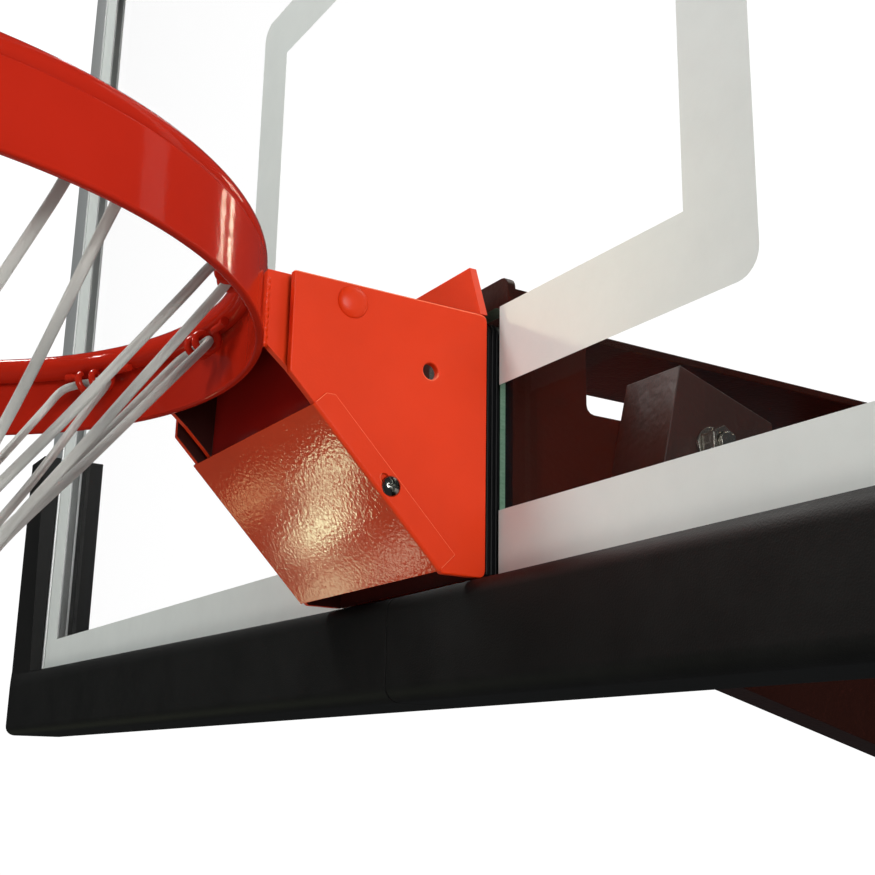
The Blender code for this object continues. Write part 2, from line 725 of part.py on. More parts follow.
def hook_route():
    """Centre line of one hook: a foot on the rod, a coil hanging from it and a second foot."""
    reach = math.hypot(ROD_CENTRE_RADIUS - HOOK_AXIS_RADIUS, -ROD_RADIUS - HOOK_AXIS_Z)
    seat = (ROD_RADIUS + HOOK_WIRE + SEAT_GAP) / reach
    foot_radius = ROD_CENTRE_RADIUS + (HOOK_AXIS_RADIUS - ROD_CENTRE_RADIUS) * seat
    foot_z = -ROD_RADIUS + (HOOK_AXIS_Z + ROD_RADIUS) * seat
    coil_half = HOOK_PITCH * HOOK_TURNS / 2
    foot_end = HOOK_FOOT - HOOK_FOOT_LENGTH
    route = [(-HOOK_FOOT, foot_radius, foot_z), (-foot_end, foot_radius, foot_z)]
    steps = CURL_STEPS * HOOK_TURNS
    for i in range(steps + 1):
        turn = 2 * math.pi * HOOK_TURNS * i / steps
        tangent = -coil_half + 2 * coil_half * i / steps
        radius = HOOK_AXIS_RADIUS - HOOK_COIL * math.sin(turn)
        route.append((tangent, radius, HOOK_AXIS_Z + HOOK_COIL * math.cos(turn)))
    route += [(foot_end, foot_radius, foot_z), (HOOK_FOOT, foot_radius, foot_z)]
    return [ring_point(radius, tangent, z) for tangent, radius, z in route]


def least_gap(points, radius, apart):
    """Least clear distance between a bar and its own turns, from points along it."""
    fine = []
    for one, two in zip(points, points[1:]):
        fine += [Vector(one).lerp(Vector(two), k / 6) for k in range(6)]
    gaps = [(here - there).length for i, here in enumerate(fine) for there in fine[i + 6 * apart:]]
    return min(gaps) - 2 * radius


def build_hooks(parent, centre):
    bm = bmesh.new()
    tube_mesh(bm, hook_route(), HOOK_WIRE, WIRE_SIDES)
    print("net hook: least gap between its turns %.2f mm" % (1000 * least_gap(hook_route(), HOOK_WIRE, 4)))
    first = add_mesh("net_hook_01", bm, "red coat", parent, centre, smooth=True)
    for i in range(1, HOOK_COUNT):
        hook = add_object("net_hook_%02d" % (i + 1), first.data, "red coat", parent, centre)
        hook.rotation_euler.z = -2 * math.pi * i / HOOK_COUNT


def row_slots(row):
    """Places of a row's knots, in half hooks: odd under the hooks' row, then even, and so on."""
    return [2 * hook + (row + 1) % 2 for hook in range(HOOK_COUNT)]


def net_spot(radius, z, slot):
    angle = math.pi * slot / HOOK_COUNT
    return Vector((radius * math.sin(angle), radius * math.cos(angle), z))


def net_knot(row, slot):
    return net_spot(*NET_ROWS[row], slot)


def net_loop(hook):
    """Cord from the knot before a hook, through its coil, to the knot after it."""
    turn = 2 * math.pi * hook / HOOK_COUNT
    coil_half = HOOK_PITCH * HOOK_TURNS / 2 + HOOK_WIRE
    past, drop, inset = CORD_KNEE
    knee = coil_half + past
    leaves = coil_half + CORD_LEAVES
    spots = ((-knee, drop, inset), (-leaves, 0, 0), (0, 0, 0), (leaves, 0, 0), (knee, drop, inset))
    inside = []
    for tangent, down, inward in spots:
        x, y, z = ring_point(HOOK_AXIS_RADIUS - inward, tangent, HOOK_AXIS_Z - down)
        inside.append(Matrix.Rotation(-turn, 3, "Z") @ Vector((x, y, z)))
    ends = []
    for side in (-1, 1):
        slot = 2 * hook + side
        aside = net_spot(1, 0, slot + HOOK_COUNT / 2) * CORD_RADIUS * side * CORD_BESIDE
        ends.append([net_spot(*NET_MEETING, slot) - aside, net_knot(0, slot)])
    return [*reversed(ends[0]), *inside, *ends[1]]


def build_net(parent, centre):
    """Twelve looped cords at the hooks, then rows of crossed cords knotted to each other."""
    bm = bmesh.new()
    for hook in range(HOOK_COUNT):
        tube_mesh(bm, net_loop(hook), CORD_RADIUS, WIRE_SIDES)
    for row in range(1, len(NET_ROWS)):
        for slot in row_slots(row - 1):
            for step in (-1, 1):
                ends = [net_knot(row - 1, slot), net_knot(row, slot + step)]
                tube_mesh(bm, ends, CORD_RADIUS, WIRE_SIDES)
    last = len(NET_ROWS) - 1
    for slot in row_slots(last):
        low = net_spot(*NET_HEM, slot + 1)
        ends = [net_knot(last, slot), net_knot(last, slot + 2)]
        shoulder = [end.lerp(low, HEM_SHOULDER) + Vector((0, 0, HEM_ROUND)) for end in ends]
        tube_mesh(bm, [ends[0], shoulder[0], low, shoulder[1], ends[1]], CORD_RADIUS, WIRE_SIDES)
    net = add_mesh("net", bm, "net cord", parent, centre, smooth=True)

    knots = bmesh.new()
    for row in range(len(NET_ROWS)):
        for slot in row_slots(row):
            made = bmesh.ops.create_icosphere(knots, subdivisions=1, radius=KNOT_RADIUS)
            bmesh.ops.scale(knots, vec=(1, 1, 1.35), verts=made["verts"])
            bmesh.ops.translate(knots, vec=net_knot(row, slot), verts=made["verts"])
    knot_set = add_mesh("net_knots", knots, None, parent, centre)
    boolean(net, knot_set, "UNION")
    net.modifiers[-1].use_self = True


def build_neck(parent, pivot):
    """Welded bracket behind the ring: two sides with the pin's eye, a roof and a wall before the pin."""
    front = RING_CENTRE_Y + BAND_OUTER - NECK_LAP_ON_RING - pivot.y
    corners = (NECK_CHIN, NECK_FOLD, NECK_TAIL, NECK_HEEL)
    chin, fold, tail, heel = [Vector(corner) - pivot.yz for corner in corners]
    top = NECK_TOP - pivot.z
    eye = arc((0, 0), NECK_EYE, 90, 0, 4)
    rise = (chin.y - fold.y) / (chin.x - fold.x)
    chin_front = (front, chin.y + rise * 0.85 * (front - chin.x))
    side = [(front, top), (0.0, top), *eye[1:], tuple(heel), tuple(tail), tuple(fold), tuple(chin),
            chin_front]
    outer = CHEEK_OUTER - CHEEK_THICK - NECK_SIDE_GAP
    inner = outer - NECK_PLATE
    neck = prism("neck_bracket", "x", side, inner, outer, "orange coat", parent)
    other = prism("neck_side_left", "x", side, -outer, -inner, None, parent)
    boolean(neck, other, "UNION")
    lap = inner + NECK_PLATE / 2
    roof = box_outline(front, 0.0 - NECK_EYE * 0.6, top - NECK_PLATE, top)
    boolean(neck, prism("neck_roof", "x", roof, -lap, lap, None, parent), "UNION")
    foot = fold.lerp(tail, 0.5)
    head = Vector((foot.x + NECK_WALL_LEAN, top - NECK_PLATE / 2))
    thick = Vector((NECK_WALL_THICK, 0))
    wall = [tuple(foot), tuple(head), tuple(head + thick), tuple(foot + thick)]
    boolean(neck, prism("neck_wall", "x", wall, -lap, lap, None, parent), "UNION")

    reach = BAND_OUTER + SEAT_GAP
    tool = cutter("neck_ring_cut", "z", [(reach * math.sin(2 * math.pi * i / RING_STEPS),
                                         reach * math.cos(2 * math.pi * i / RING_STEPS))
                                        for i in range(RING_STEPS)], -0.1, 0.05, parent,
                  (0, RING_CENTRE_Y - pivot.y, -pivot.z))
    boolean(neck, tool)
    hole = circle_outline(0, 0, PIN_RADIUS + RUNNING_GAP, 20)
    boolean(neck, cutter("neck_eye", "x", hole, -outer - PAST, outer + PAST, parent))


def build_channel(parent):
    """Rear bracket: a web behind the notch, two side flanges and the board lugs."""
    web_rear = WEB_FRONT + WEB_THICK
    web = rounded([
        (-CHANNEL_HALF, NOTCH_PAD_BOTTOM), (CHANNEL_HALF, NOTCH_PAD_BOTTOM),
        (CHANNEL_HALF, CHANNEL_TOP, CHANNEL_ROUND), (-CHANNEL_HALF, CHANNEL_TOP, CHANNEL_ROUND),
    ])
    channel = prism("rear_channel", "y", web, WEB_FRONT, web_rear, "brown coat", parent)
    clear_of_frame = FRAME_DEPTH + SEAT_GAP
    flange_top = CHANNEL_TOP - FLANGE_DROP
    flange = rounded([
        (web_rear - LAP, NOTCH_PAD_BOTTOM), (clear_of_frame, NOTCH_PAD_BOTTOM),
        (clear_of_frame, FLANGE_FOOT), (FLANGE_LOWER_REAR, FLANGE_FOOT, FLANGE_ROUND),
        (FLANGE_LOWER_REAR, FLANGE_STEP_Z, FLANGE_STEP_ROUND),
        (FLANGE_UPPER_REAR, FLANGE_STEP_Z, FLANGE_STEP_ROUND),
        (FLANGE_UPPER_REAR, flange_top, FLANGE_ROUND), (web_rear - LAP, flange_top),
    ], 3)
    for name, side in (("left", -1), ("right", 1)):
        low, high = sorted((side * (CHANNEL_HALF - WEB_THICK), side * CHANNEL_HALF))
        boolean(channel, prism("flange_" + name, "x", flange, low, high, None, parent), "UNION")
    cut_rim_bolt_holes(channel, WEB_FRONT - PAST, web_rear + PAST, parent)

    for name, side in (("left", -1), ("right", 1)):
        low, high = sorted((side * (CHANNEL_HALF + SEAT_GAP), side * (CHANNEL_HALF + LUG_WIDTH)))
        rear = clear_of_frame + LUG_THICK
        lug = prism("frame_lug_" + name, "y", box_outline(low, high, FLANGE_FOOT, LUG_TOP),
                    clear_of_frame, rear, "brown coat", parent)
        for i, inset in enumerate(LUG_BOLT_INSETS, 1):
            x = CHANNEL_HALF + inset
            hole = circle_outline(side * x, LUG_BOLT_Z, LUG_BOLT_RADIUS + BOLT_CLEARANCE, 12)
            boolean(lug, cutter("lug_hole", "y", hole, clear_of_frame - PAST, rear + PAST, parent))
            hex_bolt("lug_bolt_%s_%d" % (name, i), "y", rear + SEAT_GAP, 1, LUG_BOLT_RADIUS,
                     LUG_THICK + LUG_BOLT_REACH, "zinc plate", parent, (side * x, 0, LUG_BOLT_Z))


def build_arm_brackets(parent):
    """Folded box on each flange, its upper arm and the bolt that joins them."""
    top_front = Vector(BOX_TOP_FRONT)
    top_rear = Vector(BOX_TOP_REAR)
    foot = Vector(BOX_FOOT)
    outline = [tuple(foot), (top_rear.x, foot.y), tuple(top_rear), tuple(top_front)]
    front_dir = (top_front - foot).normalized()
    top_dir = (top_rear - top_front).normalized()
    inset_front = Vector((front_dir.y, -front_dir.x)) * BOX_WALL
    inset_top = Vector((top_dir.y, -top_dir.x)) * BOX_WALL
    corner_in = top_front + inset_front + inset_top
    hollow = [
        tuple(foot + inset_front - front_dir * BOX_OPEN), (top_rear.x + BOX_OPEN, foot.y - BOX_OPEN),
        tuple(top_rear + inset_top + top_dir * BOX_OPEN), tuple(corner_in),
    ]
    for name, side in (("left", -1), ("right", 1)):
        inner = CHANNEL_HALF + SEAT_GAP
        low, high = sorted((side * inner, side * BOX_OUTER))
        bracket = prism("arm_bracket_" + name, "x", outline, low, high, "brown coat", parent)
        gap_low, gap_high = sorted((side * (inner - PAST), side * (BOX_OUTER - BOX_WALL)))
        boolean(bracket, cutter("bracket_hollow_" + name, "x", hollow, gap_low, gap_high, parent))
        bore = circle_outline(CLEVIS_Y, CLEVIS_Z, CLEVIS_RADIUS + BOLT_CLEARANCE, 14)
        wall = sorted((side * (BOX_OUTER - BOX_WALL - PAST), side * (BOX_OUTER + PAST)))
        boolean(bracket, cutter("bracket_bore_" + name, "x", bore, *wall, parent))

        arm = square_tube("upper_arm_" + name, side * (ARM_INNER + ARM_OUTER) / 2, "brown coat", parent)
        across = sorted((side * (ARM_INNER - PAST), side * (ARM_OUTER + PAST)))
        boolean(arm, cutter("arm_bore_" + name, "x", bore, *across, parent))

        place = (0, CLEVIS_Y, CLEVIS_Z)
        seat = side * (ARM_INNER - SEAT_GAP)
        washer_seat = BOX_OUTER + SEAT_GAP
        nut_seat = washer_seat + ARM_WASHER_THICK + SEAT_GAP
        length = nut_seat + ARM_NUT_THICK + BOLT_STICK_OUT - ARM_INNER
        hex_bolt("arm_bolt_" + name, "x", seat, -side, CLEVIS_RADIUS, length, "zinc plate", parent, place)
        washer_low = min(side * washer_seat, side * (washer_seat + ARM_WASHER_THICK))
        washer("arm_washer_" + name, "x", washer_low, ARM_WASHER_THICK, CLEVIS_RADIUS + SEAT_GAP,
               CLEVIS_RADIUS * 2, "zinc plate", parent, place)
        nut_low = min(side * nut_seat, side * (nut_seat + ARM_NUT_THICK))
        hex_nut("arm_nut_" + name, "x", nut_low, ARM_NUT_THICK, CLEVIS_RADIUS, "zinc plate", parent, place)


def square_tube(name, x, coat, parent):
    """Hollow square arm from the bracket to the mounting plate."""
    half = ARM_SIZE / 2
    outer = box_outline(x - half, x + half, CLEVIS_Z - half, CLEVIS_Z + half)
    arm = prism(name, "y", outer, ARM_START, MOUNT_FRONT, coat, parent)
    core = half - ARM_WALL
    bore = box_outline(x - core, x + core, CLEVIS_Z - core, CLEVIS_Z + core)
    boolean(arm, cutter(name + "_hollow", "y", bore, ARM_START - PAST, MOUNT_FRONT + PAST, parent))
    return arm


def brace_z(y):
    """Height of the lower brace's underside."""
    return BRACE_KNEE[1] + BRACE_SLOPE * (y - BRACE_KNEE[0])


def build_struts(parent):
    """Top tie plate, sloping lower brace and the rear mounting plate."""
    start = WEB_FRONT + WEB_THICK + SEAT_GAP
    tie = box_outline(start, MOUNT_FRONT, TIE_BOTTOM, TIE_BOTTOM + TIE_THICK)
    prism("tie_plate", "x", tie, -TIE_HALF, TIE_HALF, "brown coat", parent)

    outline = [(start, brace_z(start)), (MOUNT_FRONT, brace_z(MOUNT_FRONT)),
               (MOUNT_FRONT, brace_z(MOUNT_FRONT) + BRACE_TALL), (start, brace_z(start) + BRACE_TALL)]
    brace = prism("lower_brace", "x", outline, -BRACE_HALF, BRACE_HALF, "brown coat", parent)
    low, high = start - PAST, MOUNT_FRONT + PAST
    bore = [(low, brace_z(low) + BRACE_WALL), (high, brace_z(high) + BRACE_WALL),
            (high, brace_z(high) + BRACE_TALL - BRACE_WALL), (low, brace_z(low) + BRACE_TALL - BRACE_WALL)]
    core = BRACE_HALF - BRACE_WALL
    boolean(brace, cutter("brace_hollow", "x", bore, -core, core, parent))

    front = MOUNT_FRONT + SEAT_GAP
    right = [
        (MOUNT_FOOT_HALF, MOUNT_BOTTOM, MOUNT_ROUND), (MOUNT_FOOT_HALF, MOUNT_FOOT_TOP, MOUNT_ROUND),
        (MOUNT_HALF, MOUNT_WAIST, MOUNT_ROUND), (MOUNT_HALF, MOUNT_TOP, MOUNT_ROUND),
    ]
    plate = rounded(right + [(-x, z, bend) for x, z, bend in reversed(right)])
    mount = prism("mount_plate", "y", plate, front, MOUNT_BACK, "brown coat", parent)
    rows = ((MOUNT_HALF, MOUNT_TOP - MOUNT_HOLE_INSET), (MOUNT_FOOT_HALF, MOUNT_BOTTOM + MOUNT_HOLE_INSET))
    for half, z in rows:
        for side in (-1, 1):
            hole = circle_outline(side * (half - MOUNT_HOLE_INSET), z, MOUNT_HOLE_RADIUS, 16)
            boolean(mount, cutter("mount_hole", "y", hole, front - PAST, MOUNT_BACK + PAST, parent))


def main():
    for old in list(bpy.data.objects):
        bpy.data.objects.remove(old, do_unlink=True)

    board = empty("board_frame", None, (0, -MOUNT_BACK, -MOUNT_MIDDLE))
    build_board(board)
    build_pads(board)
    build_housing(board)
    build_rim_bolts(board)
    build_channel(board)
    build_arm_brackets(board)
    build_struts(board)

    pivot = Vector((0, PIVOT_Y, PIVOT_Z))
    rim = empty("rim_pivot", board, pivot)
    centre = (0, RING_CENTRE_Y - pivot.y, RING_TOP - pivot.z)
    build_ring(rim, centre)
    build_net(rim, centre)
    build_neck(rim, pivot)


main()
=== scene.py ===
import bpy
import bmesh
import math
import random
from mathutils import Matrix, Vector


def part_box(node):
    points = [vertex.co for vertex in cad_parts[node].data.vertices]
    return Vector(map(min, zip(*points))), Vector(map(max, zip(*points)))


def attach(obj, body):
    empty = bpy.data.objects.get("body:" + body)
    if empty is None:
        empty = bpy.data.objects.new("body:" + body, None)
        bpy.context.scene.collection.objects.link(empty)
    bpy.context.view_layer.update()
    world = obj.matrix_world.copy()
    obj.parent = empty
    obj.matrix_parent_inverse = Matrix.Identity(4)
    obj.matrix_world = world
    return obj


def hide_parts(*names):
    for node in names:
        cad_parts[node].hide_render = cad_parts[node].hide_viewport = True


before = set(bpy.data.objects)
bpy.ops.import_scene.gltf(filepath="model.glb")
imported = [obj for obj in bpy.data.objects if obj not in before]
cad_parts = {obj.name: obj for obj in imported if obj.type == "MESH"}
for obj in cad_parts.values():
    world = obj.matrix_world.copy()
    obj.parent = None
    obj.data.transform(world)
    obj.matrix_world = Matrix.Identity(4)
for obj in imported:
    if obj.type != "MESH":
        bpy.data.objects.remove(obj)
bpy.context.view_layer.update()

random.seed(7)

# Everything is drawn round the middle of the ring's level on the glass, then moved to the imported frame
boardFront = -0.5083
ringLevel = 0.135
toFrame = Vector((0, boardFront, ringLevel))


# Camera, at the photograph's place
view = {"place": (0.70208, -0.42387, -0.28646), "turn": 1.0158507, "tilt": 0.264686, "roll": 0.0181628,
        "lens": 52.673, "sensor": 36}

bpy.ops.object.camera_add(location=Vector(view["place"]) + toFrame)
camera = bpy.context.object
camera.data.lens = view["lens"]
camera.data.sensor_width = view["sensor"]
camera.data.clip_start = 0.01
camera.data.clip_end = 100
aim = Matrix.Rotation(view["turn"], 4, "Z") @ Matrix.Rotation(math.pi / 2 + view["tilt"], 4, "X")
camera.rotation_euler = (aim @ Matrix.Rotation(view["roll"], 4, "Z")).to_euler()
bpy.context.scene.camera = camera
print("camera placed")


# Edge roundings of the pieces, and how near counts as touching
rounding = {"glass": 0.0009, "rail": 0.0005, "seal": 0.0007, "pad": 0.0048, "band": 0.0016, "housing": 0.0009,
            "cover": 0.0004, "neck": 0.0008, "steel": 0.0011, "fastener": 0.0005}
touching = 0.0005


# Modelling steps used by most pieces
def nothingPicked():
    if bpy.context.object and bpy.context.object.mode != "OBJECT":
        bpy.ops.object.mode_set(mode="OBJECT")
    bpy.ops.object.select_all(action="DESELECT")


def pick(*pieces):
    nothingPicked()
    for piece in pieces:
        piece.select_set(True)
    bpy.context.view_layer.objects.active = pieces[0]


def applyPlace(piece):
    pick(piece)
    bpy.ops.object.transform_apply(location=True, rotation=True, scale=True)


def block(name, low, high):
    low, high = Vector(low), Vector(high)
    nothingPicked()
    bpy.ops.mesh.primitive_cube_add(size=1, location=(low + high) / 2)
    piece = bpy.context.object
    piece.name = name
    piece.scale = high - low
    applyPlace(piece)
    return piece


def barBetween(name, start, end, radius, sides=32):
    start, end = Vector(start), Vector(end)
    nothingPicked()
    bpy.ops.mesh.primitive_cylinder_add(vertices=sides, radius=radius, depth=(end - start).length,
                                        location=(start + end) / 2)
    piece = bpy.context.object
    piece.name = name
    piece.rotation_euler = (end - start).to_track_quat("Z", "Y").to_euler()
    applyPlace(piece)
    return piece


def finishWith(piece, kind, **values):
    step = piece.modifiers.new(kind.lower(), kind)
    for key, value in values.items():
        setattr(step, key, value)
    pick(piece)
    bpy.ops.object.modifier_apply(modifier=step.name)


def soften(piece, width, segments=2, angle=30):
    finishWith(piece, "BEVEL", width=width, segments=segments, limit_method="ANGLE",
               angle_limit=math.radians(angle))


def splitAt(piece, place, normal, **how):
    pick(piece)
    bpy.ops.object.mode_set(mode="EDIT")
    bpy.ops.mesh.select_all(action="SELECT")
    bpy.ops.mesh.bisect(plane_co=place, plane_no=normal, **how)
    bpy.ops.object.mode_set(mode="OBJECT")


def cutWith(piece, *tools, how="DIFFERENCE"):
    for tool in tools:
        finishWith(piece, "BOOLEAN", object=tool, operation=how, solver="EXACT")
        pick(tool)
        bpy.ops.object.delete()


def chooseEdges(piece, test):
    # leaves the piece in edit mode with the edges that pass the test
    pick(piece)
    bpy.ops.object.mode_set(mode="EDIT")
    bpy.ops.mesh.select_mode(type="EDGE")
    bpy.ops.mesh.select_all(action="DESELECT")
    bpy.ops.object.mode_set(mode="OBJECT")
    corners = piece.data.vertices
    for edge in piece.data.edges:
        edge.select = test(corners[edge.vertices[0]].co, corners[edge.vertices[1]].co)
    bpy.ops.object.mode_set(mode="EDIT")


def chooseFaces(piece, test):
    pick(piece)
    bpy.ops.object.mode_set(mode="EDIT")
    bpy.ops.mesh.select_mode(type="FACE")
    bpy.ops.mesh.select_all(action="DESELECT")
    bpy.ops.object.mode_set(mode="OBJECT")
    for face in piece.data.polygons:
        face.select = test(face.center, face.normal)
    bpy.ops.object.mode_set(mode="EDIT")


def roundEdges(piece, width, segments, test):
    chooseEdges(piece, test)
    bpy.ops.mesh.bevel(offset=width, segments=segments, affect="EDGES")
    bpy.ops.object.mode_set(mode="OBJECT")


def fromNode(name, node):
    # a CAD node's own shape, merged and with its flat faces made whole
    piece = bpy.data.objects.new(name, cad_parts[node].data.copy())
    bpy.context.scene.collection.objects.link(piece)
    piece.data.transform(Matrix.Translation(-toFrame))
    pick(piece)
    bpy.ops.object.mode_set(mode="EDIT")
    bpy.ops.mesh.select_all(action="SELECT")
    bpy.ops.mesh.remove_doubles(threshold=0.00002)
    bpy.ops.mesh.dissolve_limited(angle_limit=math.radians(1))
    bpy.ops.object.mode_set(mode="OBJECT")
    return piece


def joinAll(pieces):
    pick(*pieces)
    if len(pieces) > 1:
        bpy.ops.object.join()
    return bpy.context.object


def settle(piece, body, finish, slotName, *nodes, angle=35, flat=True):
    # shading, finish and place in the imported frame; flat evens the shading of large plane faces
    if piece.type != "MESH":
        pick(piece)
        bpy.ops.object.convert(target="MESH")
    piece.data.transform(Matrix.Translation(toFrame))
    pick(piece)
    bpy.ops.object.shade_smooth_by_angle(angle=math.radians(angle))
    if flat:
        finishWith(piece, "WEIGHTED_NORMAL", keep_sharp=True, weight=60)
    piece.data.materials.clear()
    for coat in finish if isinstance(finish, (list, tuple)) else [finish]:
        piece.data.materials.append(coat)
    if nodes:
        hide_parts(*nodes)
    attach(piece, body)
    return piece


def ringSpot(radius, angle, height):
    # angle in degrees round the ring, from the side that faces the board towards +X
    turn = math.radians(angle)
    return Vector((radius * math.sin(turn), ring["centre"] + radius * math.cos(turn), height))


def smoothThrough(points, steps):
    # points of an even curve through the given ones
    points = [Vector(p) for p in points]
    padded = [2 * points[0] - points[1], *points, 2 * points[-1] - points[-2]]
    route = []
    for i in range(1, len(padded) - 2):
        a, b, c, d = padded[i - 1:i + 3]
        for k in range(steps):
            t = k / steps
            route.append(0.5 * ((2 * b) + (c - a) * t + (2 * a - 5 * b + 4 * c - d) * t ** 2
                                + (3 * b - a - 3 * c + d) * t ** 3))
    route.append(points[-1])
    return route


def layTube(bm, uvs, route, radius, sides, radii=None):
    # a round cord along the route, with its length and turn as UV in metres
    heading = (route[1] - route[0]).normalized()
    side = heading.orthogonal().normalized()
    rows = []
    gone = 0
    for i, point in enumerate(route):
        ahead = route[min(i + 1, len(route) - 1)] - route[max(i - 1, 0)]
        turned = ahead.normalized()
        side = (heading.rotation_difference(turned) @ side).normalized()
        heading = turned
        other = heading.cross(side)
        gone += (point - route[i - 1]).length if i else 0
        size = radii[i] if radii else radius
        row = []
        for k in range(sides):
            angle = 2 * math.pi * k / sides
            row.append(bm.verts.new(point + (side * math.cos(angle) + other * math.sin(angle)) * size))
        rows.append((row, gone))
    for (one, start), (two, end) in zip(rows, rows[1:]):
        for k in range(sides):
            n = (k + 1) % sides
            face = bm.faces.new((one[k], two[k], two[n], one[n]))
            across = (k / sides, k / sides, (k + 1) / sides, (k + 1) / sides)
            along = (start, end, end, start)
            for loop, u, v in zip(face.loops, along, across):
                loop[uvs].uv = (u, v)
    bm.faces.new(list(reversed(rows[0][0])))
    bm.faces.new(rows[-1][0])


def tubePiece(name, routes, radius, sides, radiiList=None):
    bm = bmesh.new()
    uvs = bm.loops.layers.uv.new("cord")
    for i, route in enumerate(routes):
        layTube(bm, uvs, route, radius, sides, radiiList[i] if radiiList else None)
    bmesh.ops.recalc_face_normals(bm, faces=bm.faces)
    mesh = bpy.data.meshes.new(name)
    bm.to_mesh(mesh)
    bm.free()
    piece = bpy.data.objects.new(name, mesh)
    bpy.context.scene.collection.objects.link(piece)
    return piece


def weldBead(name, route, radius, ripple):
    # a weld seam: a bead that swells at each ripple
    fine = []
    for one, two in zip(route, route[1:]):
        one, two = Vector(one), Vector(two)
        steps = max(2, round((two - one).length / (ripple / 5)))
        fine += [one.lerp(two, k / steps) for k in range(steps)]
    fine.append(Vector(route[-1]))
    gone = 0
    sizes = []
    for i, point in enumerate(fine):
        gone += (point - fine[i - 1]).length if i else 0
        swell = abs(math.sin(math.pi * gone / ripple))
        sizes.append(radius * (0.80 + 0.22 * swell + random.uniform(-0.05, 0.05)))
    sizes[0] = sizes[-1] = radius * 0.4
    return tubePiece(name, [fine], radius, 10, [sizes])


# Shader groups
def newGroup(name, inputs, outputs):
    group = bpy.data.node_groups.new(name, "ShaderNodeTree")
    for label, value in inputs:
        socket = group.interface.new_socket(name=label, in_out="INPUT", socket_type="NodeSocketFloat")
        socket.default_value = value
    for label in outputs:
        group.interface.new_socket(name=label, in_out="OUTPUT", socket_type="NodeSocketFloat")
    return group, group.nodes.new("NodeGroupInput"), group.nodes.new("NodeGroupOutput")


def noiseNode(tree, vector, scale, detail=2.0, rough=0.5):
    noise = tree.nodes.new("ShaderNodeTexNoise")
    noise.inputs["Detail"].default_value = detail
    noise.inputs["Roughness"].default_value = rough
    if isinstance(scale, (int, float)):
        noise.inputs["Scale"].default_value = scale
    else:
        tree.links.new(scale, noise.inputs["Scale"])
    tree.links.new(vector, noise.inputs["Vector"])
    return noise


def mathNode(tree, how, one, two=None):
    node = tree.nodes.new("ShaderNodeMath")
    node.operation = how
    for socket, value in zip(node.inputs, (one, two)):
        if value is None:
            continue
        if isinstance(value, (int, float)):
            socket.default_value = value
        else:
            tree.links.new(value, socket)
    return node.outputs[0]


def makeCoatPeel():
    # powder coat: fine orange peel, wider ripples and faint clouds of tone
    group, given, result = newGroup("coat peel", [("Peel Scale", 700), ("Ripple Scale", 90), ("Ripple", 0.4)],
                                    ["Height", "Cloud"])
    place = group.nodes.new("ShaderNodeTexCoord")
    peel = noiseNode(group, place.outputs["Object"], given.outputs["Peel Scale"], 1.5)
    ripple = noiseNode(group, place.outputs["Object"], given.outputs["Ripple Scale"], 1.0)
    cloud = noiseNode(group, place.outputs["Object"], 14.0, 3.0)
    wide = mathNode(group, "MULTIPLY", ripple.outputs["Fac"], given.outputs["Ripple"])
    group.links.new(mathNode(group, "ADD", peel.outputs["Fac"], wide), result.inputs["Height"])
    group.links.new(cloud.outputs["Fac"], result.inputs["Cloud"])
    return group


def makeGrain():
    # moulded grain: small cells over a finer noise, with faint scuffs
    group, given, result = newGroup("moulded grain", [("Grain Scale", 900)], ["Height", "Scuff"])
    place = group.nodes.new("ShaderNodeTexCoord")
    cells = group.nodes.new("ShaderNodeTexVoronoi")
    cells.feature = "SMOOTH_F1"
    group.links.new(given.outputs["Grain Scale"], cells.inputs["Scale"])
    group.links.new(place.outputs["Object"], cells.inputs["Vector"])
    fine = noiseNode(group, place.outputs["Object"], 2200.0, 2.0)
    scuff = noiseNode(group, place.outputs["Object"], 22.0, 6.0, 0.7)
    half = mathNode(group, "MULTIPLY", fine.outputs["Fac"], 0.35)
    group.links.new(mathNode(group, "ADD", cells.outputs["Distance"], half), result.inputs["Height"])
    group.links.new(scuff.outputs["Fac"], result.inputs["Scuff"])
    return group


def makeStreaks():
    # drawn metal: long streaks, which a Mapping node in each material turns along the piece
    group, given, result = newGroup("drawn streaks", [("Streak Scale", 400)], ["Height", "Cloud"])
    vector = group.interface.new_socket(name="Vector", in_out="INPUT", socket_type="NodeSocketVector")
    vector.default_value = (0, 0, 0)
    streak = noiseNode(group, given.outputs["Vector"], given.outputs["Streak Scale"], 3.0, 0.7)
    cloud = noiseNode(group, given.outputs["Vector"], 12.0, 2.0)
    group.links.new(streak.outputs["Fac"], result.inputs["Height"])
    group.links.new(cloud.outputs["Fac"], result.inputs["Cloud"])
    return group


def makeBraid():
    # braided cord: two crossed sets of strands from the cord's own UV, and painted shade in the grooves
    # between them
    group, given, result = newGroup("braided cord", [("Strand Pitch", 0.0024), ("Strands", 4)],
                                    ["Height", "GrooveShade"])
    uv = group.nodes.new("ShaderNodeUVMap")
    uv.uv_map = "cord"
    parts = group.nodes.new("ShaderNodeSeparateXYZ")
    group.links.new(uv.outputs["UV"], parts.inputs["Vector"])
    around = mathNode(group, "MULTIPLY", parts.outputs["X"], given.outputs["Strands"])
    along = mathNode(group, "DIVIDE", parts.outputs["Y"], given.outputs["Strand Pitch"])
    waves = []
    for how in ("ADD", "SUBTRACT"):
        phase = mathNode(group, "MULTIPLY", mathNode(group, how, along, around), math.pi)
        waves.append(mathNode(group, "ABSOLUTE", mathNode(group, "SINE", phase)))
    high = mathNode(group, "MAXIMUM", waves[0], waves[1])
    group.links.new(high, result.inputs["Height"])
    group.links.new(mathNode(group, "SUBTRACT", 1.0, high), result.inputs["GrooveShade"])
    return group


groups = {"peel": makeCoatPeel(), "grain": makeGrain(), "streaks": makeStreaks(), "braid": makeBraid()}


